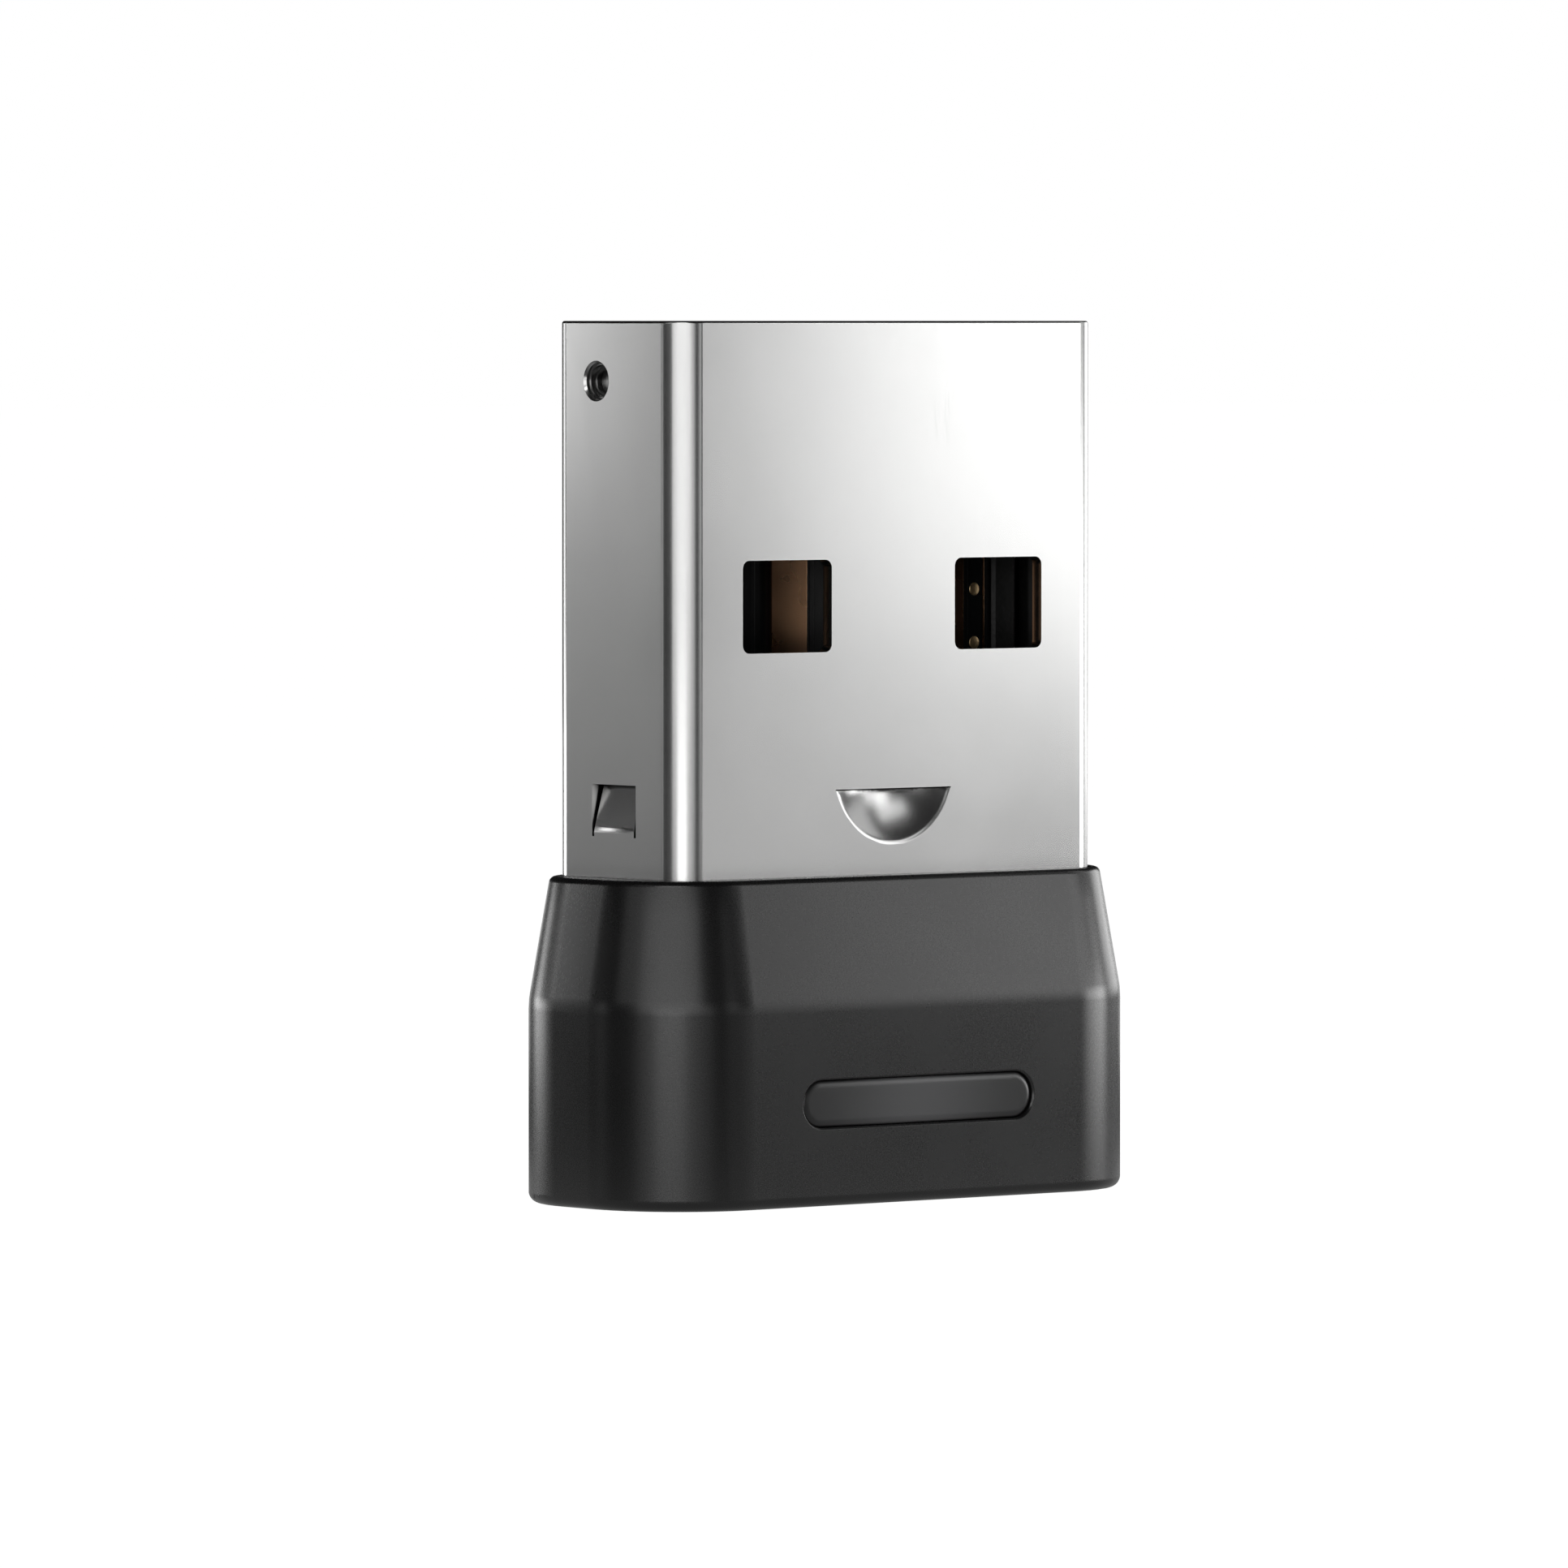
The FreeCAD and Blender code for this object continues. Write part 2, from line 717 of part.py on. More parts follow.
def board_clamp():
    """Block that closes the cavity in front of the board and that the lances hold down."""
    body = insert_blank(-far, tray_front_y - slide_gap, tray_foot_z, clamp_top_z)
    body = body.makeChamfer(clamp_chamfer, edges_along(body, "X", [
        {"Y": -insert_depth / 2, "Z": clamp_top_z}]))
    pad = board_tongue_width / 2 - slide_gap
    body = body.fuse(block(-pad, pad, tray_front_y - slide_gap, board_front_y,
                           tray_foot_z, clamp_top_z)).removeSplitter()
    for place in contact_places():
        groove = centred_block(place, contact_width + 2 * slide_gap, contact_y - slide_gap, far,
                               clamp_top_z - contact_hold / 2, contact_hold + 2 * slide_gap)
        body = body.cut(groove)
    pocket_back = front_y + lance_depth + shell_sheet + fit_gap
    body = body.cut(half_moon(fit_gap, -far, pocket_back, -slide_gap))
    core = block(clamp_core_left, clamp_core_right, -inner_y + clamp_wall,
                 board_front_y - clamp_back_wall, -far, clamp_top_z - clamp_roof)
    for cutter in both_sides(tab_recess()) + both_sides(core):
        body = body.cut(cutter)
    return body.removeSplitter()


def leadless_package(x, z, width, length, height, pads_left, pads_top):
    """Moulded package on the board's back, with pads and the first pin's corner cut off."""
    body = centred_block(x, width, board_back_y + body_lift, board_back_y + height, z, length)
    corner = edges_along(body, "Y", [{"X": x - width / 2, "Z": z + length / 2}])
    body = body.makeChamfer(pin_mark_bevel, corner)
    pads = []
    for number in range(pads_left):
        place = z + (number - (pads_left - 1) / 2) * pad_pitch
        for sign in (-1, 1):
            centre = x + sign * (width / 2 + pad_show - pad_length / 2)
            pads.append(centred_block(centre, pad_length, board_back_y,
                                      board_back_y + pad_height, place, pad_width))
    for number in range(pads_top):
        place = x + (number - (pads_top - 1) / 2) * pad_pitch
        for sign in (-1, 1):
            centre = z + sign * (length / 2 + pad_show - pad_length / 2)
            pads.append(centred_block(place, pad_width, board_back_y,
                                      board_back_y + pad_height, centre, pad_length))
    heat_pad = centred_block(x, width / 2, board_back_y, board_back_y + pad_height, z, length / 2)
    return body.multiFuse(pads + [heat_pad]).removeSplitter()


def end_capped(x, z, length, width, height, upright):
    """Small ceramic block with a metal cap over each end."""
    lengths = (width, length) if upright else (length, width)
    body = centred_block(x, lengths[0], board_back_y + cap_rise, board_back_y + height - cap_rise,
                         z, lengths[1])
    shift = (length - cap_length) / 2
    caps = []
    for sign in (-1, 1):
        cap_x = x if upright else x + sign * shift
        cap_z = z + sign * shift if upright else z
        cap_sizes = (width, cap_length) if upright else (cap_length, width)
        caps.append(centred_block(cap_x, cap_sizes[0] + 2 * cap_rise, board_back_y,
                                  board_back_y + height, cap_z, cap_sizes[1] + 2 * cap_rise))
    return body.multiFuse(caps).removeSplitter()


def side_place(width):
    """Place of a part of the given width in the column beside the tray's right ledge."""
    return tray_room - column_margin - width / 2


def crystal():
    """Ceramic base under a metal lid."""
    x = side_place(crystal_width)
    base = centred_block(x, crystal_width, board_back_y, board_back_y + crystal_base,
                         radio_row, crystal_length)
    top_y = board_back_y + crystal_base + crystal_lid
    lid = centred_block(x, crystal_width - 2 * crystal_rim, board_back_y + crystal_base, top_y,
                        radio_row, crystal_length - 2 * crystal_rim)
    lid = lid.makeChamfer(crystal_lid / 2, edges_level(lid, "Y", top_y))
    return base.fuse(lid)


def capacitors():
    """A column at the left of the radio chip, and one above and below the crystal."""
    places = []
    for number in range(capacitor_rows):
        z = radio_row + (number - (capacitor_rows - 1) / 2) * chip_row_pitch
        places.append((-side_place(chip_length), z))
    for side in (-1, 1):
        z = radio_row + side * (crystal_length / 2 + row_gap / 2 + chip_width / 2)
        places.append((side_place(chip_length), z))
    return Part.makeCompound([end_capped(x, z, chip_length, chip_width, capacitor_height, False)
                              for x, z in places])


def resistors():
    """A column between the voltage regulator and the surge diode."""
    rows = [resistor_row + number * chip_row_pitch for number in range(resistor_rows)]
    return Part.makeCompound([end_capped(0, z, chip_length, chip_width, resistor_height, False)
                              for z in rows])


def indicator_led():
    """Light on the board's front, level with the light guide's stem."""
    base = centred_block(0, led_length, board_front_y - led_base, board_front_y,
                         lens_centre, led_width)
    dome = centred_block(0, led_dome_length, led_face_y(), board_front_y - led_base,
                         lens_centre, led_width)
    dome = dome.makeChamfer(led_dome_bevel, edges_level(dome, "Y", led_face_y()))
    return base.fuse(dome)


def printed_antenna():
    """Meander of one trace on the back of the board's tail, with its feed at the left."""
    low = board_foot_z + antenna_low
    high = low + antenna_tall
    start = -antenna_pitch * (antenna_runs - 1) / 2
    y_high = board_back_y + antenna_thickness
    half = antenna_trace / 2
    runs = []
    for number in range(antenna_runs):
        x = start + number * antenna_pitch
        top = tray_foot_z if number == 0 else high
        runs.append(block(x - half, x + half, board_back_y, y_high, low, top))
        if number < antenna_runs - 1:
            z = low if number % 2 == 0 else high - antenna_trace
            runs.append(block(x - half, x + antenna_pitch + half, board_back_y, y_high,
                              z, z + antenna_trace))
    return runs[0].multiFuse(runs[1:]).removeSplitter()


def solder_fillet(board_y, direction):
    """Hollow-faced fillet in the corner between the right leg and one face of the board."""
    z = shell_end_z - board_tail_gap - solder_length
    corner = vec(inner_x, board_y, z)
    on_leg = vec(inner_x, board_y + direction * solder_leg, z)
    on_board = vec(inner_x - solder_leg, board_y, z)
    dip = solder_leg * (1 - math.sqrt(0.5))
    middle = vec(inner_x - dip, board_y + direction * dip, z)
    edges = [
        Part.makeLine(corner, on_leg),
        Part.Arc(on_leg, middle, on_board).toShape(),
        Part.makeLine(on_board, corner),
    ]
    return Part.Face(Part.Wire(edges)).extrude(vec(0, 0, solder_length))


def shell_solder_joints():
    """Fillets on both faces of the board, at both legs."""
    front = both_sides(solder_fillet(board_front_y, -1))
    back = both_sides(solder_fillet(board_back_y, 1))
    return Part.makeCompound(front + back)


def nodes():
    """Every sub-part by name."""
    made = {
        "plug_shell": plug_shell(),
        "housing": housing(),
        "indicator_lens": indicator_lens(),
        "circuit_board": circuit_board(),
        "board_tray": board_tray(),
        "board_clamp": board_clamp(),
        "guard_line": guard_line(),
        "crystal": crystal(),
        "capacitors": capacitors(),
        "resistors": resistors(),
        "indicator_led": indicator_led(),
        "printed_antenna": printed_antenna(),
        "shell_solder_joints": shell_solder_joints(),
    }
    made["radio_chip"] = leadless_package(0, radio_row, radio_side, radio_side, radio_height,
                                          radio_pads, radio_pads)
    made["memory_chip"] = leadless_package(0, memory_row, memory_width, memory_length,
                                           memory_height, memory_pads, 0)
    made["voltage_regulator"] = leadless_package(-side_place(regulator_side), regulator_row,
                                                 regulator_side, regulator_side,
                                                 regulator_height, regulator_pads, 0)
    made["surge_diode"] = leadless_package(side_place(surge_width), regulator_row, surge_width,
                                           surge_length, surge_height, surge_pads, 0)
    made["ferrite_bead"] = end_capped(side_place(bead_width), memory_row, bead_length,
                                      bead_width, bead_height, True)
    made["band_filter"] = end_capped(0, filter_row, filter_length, filter_width,
                                     filter_height, False)
    names = ("contact_power", "contact_data_minus", "contact_data_plus", "contact_ground")
    for name, place in zip(names, contact_places()):
        outer = abs(place) == outer_contact_place
        made[name] = contact(place, outer_contact_drop if outer else inner_contact_drop)
    return made


def main():
    os.makedirs("parts", exist_ok=True)
    for name, shape in nodes().items():
        shape.exportStep("parts/" + name + ".step")


main()
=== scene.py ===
import math

import bmesh
import bpy
from bpy.props import FloatProperty, FloatVectorProperty, IntProperty, PointerProperty
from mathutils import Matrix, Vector


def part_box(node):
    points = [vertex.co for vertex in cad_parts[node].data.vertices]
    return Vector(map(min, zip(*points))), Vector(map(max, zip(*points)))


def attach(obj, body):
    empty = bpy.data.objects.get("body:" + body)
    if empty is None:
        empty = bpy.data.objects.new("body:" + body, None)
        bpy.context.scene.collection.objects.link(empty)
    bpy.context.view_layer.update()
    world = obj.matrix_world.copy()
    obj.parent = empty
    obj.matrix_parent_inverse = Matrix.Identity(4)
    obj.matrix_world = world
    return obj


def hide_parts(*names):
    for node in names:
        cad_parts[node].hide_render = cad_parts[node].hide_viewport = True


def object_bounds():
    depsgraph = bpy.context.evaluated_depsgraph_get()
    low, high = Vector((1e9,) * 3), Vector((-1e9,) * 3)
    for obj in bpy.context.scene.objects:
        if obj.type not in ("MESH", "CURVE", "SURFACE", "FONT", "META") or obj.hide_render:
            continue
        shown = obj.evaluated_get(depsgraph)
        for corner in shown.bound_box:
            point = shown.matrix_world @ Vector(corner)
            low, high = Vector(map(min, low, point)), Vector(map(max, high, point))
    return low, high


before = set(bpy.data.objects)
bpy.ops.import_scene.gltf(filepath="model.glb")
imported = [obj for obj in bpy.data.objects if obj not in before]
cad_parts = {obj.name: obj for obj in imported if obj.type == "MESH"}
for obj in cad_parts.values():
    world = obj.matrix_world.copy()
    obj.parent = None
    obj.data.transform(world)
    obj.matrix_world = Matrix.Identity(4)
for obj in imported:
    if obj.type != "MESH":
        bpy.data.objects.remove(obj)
cad_low, cad_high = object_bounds()

bl_info = {
    "name": "Wireless Adapter",
    "version": (1, 0, 0),
    "blender": (4, 5, 0),
    "location": "View3D > Sidebar > Adapter",
    "description": "Finishes a short wireless adapter with a folded steel plug and a moulded boot",
    "category": "Object",
}

MM = 0.001
SHELL_LOW, SHELL_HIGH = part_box("plug_shell")
LENS_LOW, LENS_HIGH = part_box("indicator_lens")
BOARD_LOW, BOARD_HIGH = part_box("circuit_board")
LINE_LOW, LINE_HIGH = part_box("guard_line")
# The front wall lies as far from the middle as the back wall
SHELL_FRONT = -SHELL_HIGH.y
SHARP_EDGE = math.radians(40)
# Stretch that leaves a pattern the same in all directions
EVEN = (1.0, 1.0, 1.0)


def length(name, text, millimetres):
    """Length that a user may change, given in millimetres and kept in metres."""
    return FloatProperty(name=name, description=text, default=millimetres * MM, min=0.0,
                         precision=6, subtype="DISTANCE", unit="LENGTH")


def rotation(name, text, degrees):
    """Angle that a user may change, given in degrees."""
    return FloatProperty(name=name, description=text, default=math.radians(degrees),
                         subtype="ANGLE", unit="ROTATION")


def whole_number(name, text, default):
    """Number of repeats that a user may change."""
    return IntProperty(name=name, description=text, default=default, min=1)


def share(name, text, default):
    """Number from 0 to 1 that a user may change."""
    return FloatProperty(name=name, description=text, default=default, min=0.0, max=1.0,
                         subtype="FACTOR")


def tint(name, text, default):
    """Colour that a user may change."""
    return FloatVectorProperty(name=name, description=text, default=default, size=3, min=0.0,
                               max=1.0, subtype="COLOR")


class AdapterMetal(bpy.types.PropertyGroup):
    """Finish of the plug shell and the other bare metal."""

    edge_round: length("Edge round", "Round of the shell's sheared edges", 0.035)
    steel: tint("Steel", "Colour of the plated sheet", (0.44, 0.44, 0.437))
    steel_roughness: share("Steel roughness", "Roughness of the plated sheet", 0.22)
    gold: tint("Gold", "Colour of the contacts", (0.3, 0.17, 0.095))
    gold_roughness: share("Gold roughness", "Roughness of the contacts", 0.28)
    solder: tint("Solder", "Colour of the solder", (0.6, 0.61, 0.62))


class AdapterPlastic(bpy.types.PropertyGroup):
    """Finish of the boot, the light guide and the parts inside the plug."""

    edge_round: length("Edge round", "Round of the moulded edges", 0.03)
    boot: tint("Boot", "Colour of the boot's plastic", (0.004, 0.004, 0.0041))
    boot_roughness: share("Boot roughness", "Roughness of the boot", 0.27)
    lens: tint("Light guide", "Colour of the smoked light guide", (0.006, 0.006, 0.0062))
    lens_roughness: share("Light guide roughness", "Roughness of the light guide", 0.3)
    insert: tint("Insert", "Colour of the tray and the clamp", (0.006, 0.006, 0.006))
    board: tint("Board", "Colour of the board's solder mask", (0.004, 0.0045, 0.005))


class AdapterShell(bpy.types.PropertyGroup):
    """Sizes of the folded plug shell."""

    sheet: length("Sheet", "Thickness of the folded sheet", 0.3)
    corner: length("Corner", "Outer radius of the folded corners", 0.64)
    corner_turn: rotation("Corner turn", "How far each folded corner turns", 72)
    mouth_round: length("Mouth round", "Round of the mouth's outer edge", 0.06)
    end_height: length("End height", "Height of the shell's lower end", 4.08)
    window_width: length("Window width", "Width of each window", 2.5)
    window_height: length("Window height", "Height of each window", 2.0)
    window_pitch: length("Window pitch", "Distance between the windows' centres", 6.0)
    window_drop: length("Window drop", "Drop from the mouth to the windows' tops", 5.16)
    window_corner: length("Window corner", "Radius of the windows' corners", 0.18)
    lance_radius: length("Lance radius", "Radius of the half-moon lance", 1.64)
    lance_drop: length("Lance drop", "Drop to the centre of the lance's arc", 9.68)
    lance_cut: length("Lance cut", "Drop to the lance's straight cut", 10.145)
    lance_depth: length("Lance depth", "How deep the lance is pressed in", 0.4)
    lance_bend: length("Lance bend", "Half the width of the bend along the lance's arc", 0.07)
    shear_gap: length("Shear gap", "Gap that a sheared cut leaves", 0.03)
    tab_width: length("Tab width", "Width of the opening round the side tab", 1.5)
    tab_slit: length("Tab slit", "Width of the slit at each side of the tab", 0.08)
    tab_cut: length("Tab cut", "Drop to the tab's free end", 10.0)
    tab_fold: length("Tab fold", "Drop to the tab's fold", 11.05)
    tab_bend: length("Tab bend", "Outer radius of the tab's fold", 0.5)
    tab_lean: rotation("Tab lean", "How far the tab leans into the plug", 16)
    dimple_drop: length("Dimple drop", "Drop to the side dimple's centre", 1.3)
    dimple_place: length("Dimple place", "How far behind the plug's middle the dimple lies", 0.6)
    dimple_radius: length("Dimple radius", "Radius of the dimple", 0.44)
    dimple_step: length("Dimple step", "How much each step narrows the dimple", 0.04)
    dimple_step_depth: length("Dimple step depth", "Depth of each step", 0.14)
    dimple_steps: whole_number("Dimple steps", "Number of steps", 3)
    dimple_floor: length("Dimple floor", "Thickness under the dimple", 0.13)
    dimple_boss: length("Dimple boss", "Radius of the bump inside the wall", 0.5)
    seam_gap: length("Seam gap", "Width of the slit down the back", 0.04)
    seam_neck: length("Dovetail neck", "Narrow height of each dovetail", 1.0)
    seam_head: length("Dovetail head", "Wide height of each dovetail", 1.5)
    seam_reach: length("Dovetail reach", "How far each dovetail reaches across", 0.9)
    upper_dovetail: length("Upper dovetail", "Drop to the upper dovetail", 3.0)
    lower_dovetail: length("Lower dovetail", "Drop to the lower dovetail", 9.4)
    catch_width: length("Catch width", "Width of the catch window", 1.36)
    catch_height: length("Catch height", "Height of the catch window", 0.76)
    catch_rise: length("Catch rise", "Rise from the lower end to the catch window", 1.15)
    leg_width: length("Leg width", "Width of each soldered leg", 1.4)
    leg_length: length("Leg length", "Length of each soldered leg", 1.2)
    leg_chamfer: length("Leg chamfer", "Chamfer at the legs' ends", 0.3)


class AdapterLightGuide(bpy.types.PropertyGroup):
    """Sizes of the light guide in the boot's front."""

    gap: length("Gap", "Gap between the light guide and the boot", 0.015)
    margin: length("Flange margin", "How far the flange reaches past the opening", 0.34)
    flange: length("Flange", "Thickness of the flange", 0.35)
    flange_front: length("Flange front", "How far the flange lies in front of the middle", 2.3)
    stem_width: length("Stem width", "Width of the stem to the light", 2.0)
    stem_height: length("Stem height", "Height of the stem", 0.8)
    pillow: length("Pillow", "How far the face bulges", 0.07)
    edge: length("Edge", "Width of the rounded edge round the face", 0.16)


class AdapterBoard(bpy.types.PropertyGroup):
    """Plated holes along the board's edge."""

    hole_radius: length("Hole radius", "Radius of each plated hole", 0.145)
    hole_pitch: length("Hole pitch", "Distance between the plated holes", 1.18)
    hole_count: whole_number("Hole count", "Number of plated holes", 7)
    first_drop: length("First drop", "Drop from the mouth to the first hole", 1.2)
    hole_inset: length("Hole inset", "Distance from the plated line to the holes", 0.25)
    hole_rise: length("Hole rise", "How far each hole's plating stands proud", 0.02)


class AdapterStage(bpy.types.PropertyGroup):
    """Camera, floor and lights."""

    heading: rotation("Heading", "Camera's turn round the part", 39.795)
    pitch: rotation("Pitch", "How far the camera looks down", 2.08)
    distance: length("Distance", "Camera's distance from the part's axis", 278.65)
    side_step: length("Side step", "How far the view's centre passes beside the axis", 0.9404)
    focal_length: FloatProperty(name="Focal length", description="Lens in millimetres",
                                default=292.8, min=1.0)
    floor_size: length("Floor size", "Side of the floor", 4000.0)


def feed(tree, socket, value):
    """Links another node's output to a socket, or sets the socket to a plain value."""
    if isinstance(value, bpy.types.NodeSocket):
        tree.links.new(value, socket)
    else:
        socket.default_value = value


def add_node(tree, kind, inputs=None, **settings):
    """Adds a node, with its inputs set to values or linked to other nodes' outputs."""
    made = tree.nodes.new(kind)
    for name, value in settings.items():
        setattr(made, name, value)
    for key, value in (inputs or {}).items():
        feed(tree, made.inputs[key], value)
    return made


def calculate(tree, operation, first, second=0.0, third=0.0):
    """Math node's output."""
    inputs = {0: first, 1: second, 2: third}
    return add_node(tree, "ShaderNodeMath", inputs, operation=operation).outputs[0]


def spread(tree, value, low, high, to_low=0.0, to_high=1.0, **settings):
    """Map Range node's output, clamped."""
    inputs = {"Value": value, "From Min": low, "From Max": high, "To Min": to_low, "To Max": to_high}
    return add_node(tree, "ShaderNodeMapRange", inputs, **settings).outputs["Result"]


def between(tree, mask, low, high):
    """Value that goes from low to high as the mask goes from 0 to 1."""
    return spread(tree, mask, 0.0, 1.0, low, high)


def wavering(tree, mask, middle, swing):
    """Value that swings to both sides of a middle one as the mask goes from 0 to 1."""
    return between(tree, mask, middle - swing, middle + swing)


def blend_colours(tree, factor, first, second):
    """Mix node's colour output."""
    made = add_node(tree, "ShaderNodeMix", {"Factor": factor}, data_type="RGBA")
    feed(tree, made.inputs[6], first)
    feed(tree, made.inputs[7], second)
    return made.outputs[2]


def new_group(name, inputs, outputs, kind="Shader"):
    """Empty node group, with sockets by name and default. Geometry has no default."""
    tree = bpy.data.node_groups.new(name, kind + "NodeTree")
    kinds = {float: "Float", int: "Int", tuple: "Vector", type(None): "Geometry"}
    for direction, sockets in (("INPUT", inputs), ("OUTPUT", outputs)):
        for label, default in sockets.items():
            socket = tree.interface.new_socket(label, in_out=direction,
                                               socket_type="NodeSocket" + kinds[type(default)])
            if default is not None:
                socket.default_value = default
    return tree, tree.nodes.new("NodeGroupInput").outputs, tree.nodes.new("NodeGroupOutput").inputs


def place_in_mm(tree):
    """Object coordinates counted in millimetres."""
    coordinates = add_node(tree, "ShaderNodeTexCoord").outputs["Object"]
    return add_node(tree, "ShaderNodeVectorMath", {0: coordinates, "Scale": 1 / MM},
                    operation="SCALE").outputs["Vector"]


def noise(tree, scale, stretch=EVEN, turn=(0.0, 0.0, 0.0), detail=3.0, roughness=0.5):
    """Noise pattern from 0 to 1, counted in millimetres, turned and stretched along the axes."""
    placed = add_node(tree, "ShaderNodeMapping",
                      {"Vector": place_in_mm(tree), "Rotation": turn, "Scale": stretch})
    inputs = {"Vector": placed.outputs[0], "Scale": scale, "Detail": detail, "Roughness": roughness}
    return add_node(tree, "ShaderNodeTexNoise", inputs).outputs["Fac"]


def group_grain():
    """Fine grain with a direction, and broad cloudy patches."""
    tree, start, end = new_group("fine_grain", {"Scale": 8.0, "Stretch": EVEN, "Patch Scale": 0.5},
                                 {"Grain": 0.0, "Patches": 0.0})
    grain = noise(tree, start["Scale"], start["Stretch"], detail=4.0, roughness=0.6)
    patches = noise(tree, start["Patch Scale"], detail=2.0)
    tree.links.new(spread(tree, grain, 0.3, 0.7), end["Grain"])
    tree.links.new(spread(tree, patches, 0.35, 0.65), end["Patches"])


def group_edge_wear_and_glint():
    """Mask of the edges, for a painted highlight along them, and the same mask broken up by noise, for
    wear.
    """
    tree, start, end = new_group("edge_wear_and_glint", {"Reach": 0.1 * MM, "Breakup": 6.0},
                                 {"Edges": 0.0, "Worn": 0.0})
    rounded = add_node(tree, "ShaderNodeBevel", {"Radius": start["Reach"]}, samples=4)
    normal = add_node(tree, "ShaderNodeNewGeometry").outputs["Normal"]
    agreement = add_node(tree, "ShaderNodeVectorMath", {0: rounded.outputs[0], 1: normal},
                         operation="DOT_PRODUCT").outputs["Value"]
    flat, sharp = 0.99, 0.75
    edges = spread(tree, agreement, flat, sharp)
    broken = spread(tree, noise(tree, start["Breakup"], detail=5.0), 0.4, 0.62)
    tree.links.new(edges, end["Edges"])
    tree.links.new(calculate(tree, "MULTIPLY", edges, broken), end["Worn"])


def group_shut_in(name, reach, samples, output, open_share, shut_share):
    """Mask of the places whose surroundings within reach shut much of the light out."""
    tree, start, end = new_group(name, {"Reach": reach}, {output: 0.0})
    shade = add_node(tree, "ShaderNodeAmbientOcclusion", {"Distance": start["Reach"]},
                     samples=samples)
    tree.links.new(spread(tree, shade.outputs["AO"], open_share, shut_share), end[output])


def group_recess_shade():
    """Mask of corners and recesses, where light is lost, for painting shade there."""
    group_shut_in("recess_shade", 0.6 * MM, 4, "Depth", open_share=0.9, shut_share=0.35)


def group_enclosed_shade():
    """Mask of the walls that are shut in on most sides, such as the inside of the plug, for painting
    shade there.
    """
    group_shut_in("enclosed_shade", 3.0 * MM, 8, "Inside", open_share=0.42, shut_share=0.2)


def group_specks():
    """Sparse round specks, such as dust or small pits."""
    tree, start, end = new_group("specks", {"Scale": 3.0, "Size": 0.06}, {"Specks": 0.0})
    cells = add_node(tree, "ShaderNodeTexVoronoi",
                     {"Vector": place_in_mm(tree), "Scale": start["Scale"]}).outputs
    draw = add_node(tree, "ShaderNodeSeparateColor", {"Color": cells["Color"]}).outputs[0]
    left_out = 0.8
    chosen = calculate(tree, "GREATER_THAN", draw, left_out)
    half_size = calculate(tree, "MULTIPLY", start["Size"], 0.5)
    dot = spread(tree, cells["Distance"], start["Size"], half_size)
    tree.links.new(calculate(tree, "MULTIPLY", dot, chosen), end["Specks"])


def group_scratches():
    """Thin short scratches in one direction."""
    tree, start, end = new_group("scratches", {"Scale": 2.0, "Angle": (0.0, 0.0, 0.0)},
                                 {"Scratches": 0.0})
    lines = noise(tree, start["Scale"], (1.0, 1.0, 0.06), start["Angle"], detail=2.0)
    centre = calculate(tree, "ABSOLUTE", calculate(tree, "SUBTRACT", lines, 0.5))
    half_width = 0.006
    thin = spread(tree, centre, half_width, 0.0)
    patches = spread(tree, noise(tree, 0.7), 0.52, 0.6)
    tree.links.new(calculate(tree, "MULTIPLY", thin, patches), end["Scratches"])


def use_group(tree, name, **inputs):
    """Places a shared effect in a material, with its inputs by name and underscores for spaces."""
    made = tree.nodes.new("ShaderNodeGroup")
    made.node_tree = bpy.data.node_groups[name]
    for key, value in inputs.items():
        made.inputs[key.replace("_", " ")].default_value = value
    return made.outputs


def new_material(name):
    """Material with only a Principled BSDF and its output."""
    made = bpy.data.materials.new(name)
    made.use_nodes = True
    tree = made.node_tree
    return made, tree, tree.nodes["Principled BSDF"]


def scaled(colour, factor):
    """Colour made lighter or darker, with full alpha."""
    return (colour[0] * factor, colour[1] * factor, colour[2] * factor, 1.0)


def layered(tree, patches, colour, low, high, *layers):
    """Patches of two shades of a colour, with layers of more shades, each a mask, amount and shade."""
    base = blend_colours(tree, patches, scaled(colour, low), scaled(colour, high))
    for mask, amount, shade in layers:
        share_here = calculate(tree, "MULTIPLY", mask, amount)
        base = blend_colours(tree, share_here, base, scaled(colour, shade))
    return base


def shade_inside_plug(tree):
    """Mask for painted shade in the places that the plug's walls shut most of the light out of."""
    return use_group(tree, "enclosed_shade")["Inside"]


def finish_shader(tree, shader, base, rough, height, strength, depth):
    """Feeds the shader a colour, a roughness and a bump, whose depth is in millimetres."""
    bump = add_node(tree, "ShaderNodeBump",
                    {"Height": height, "Strength": strength, "Distance": depth * MM})
    feed(tree, shader.inputs["Base Color"], base)
    feed(tree, shader.inputs["Roughness"], rough)
    feed(tree, shader.inputs["Normal"], bump.outputs["Normal"])


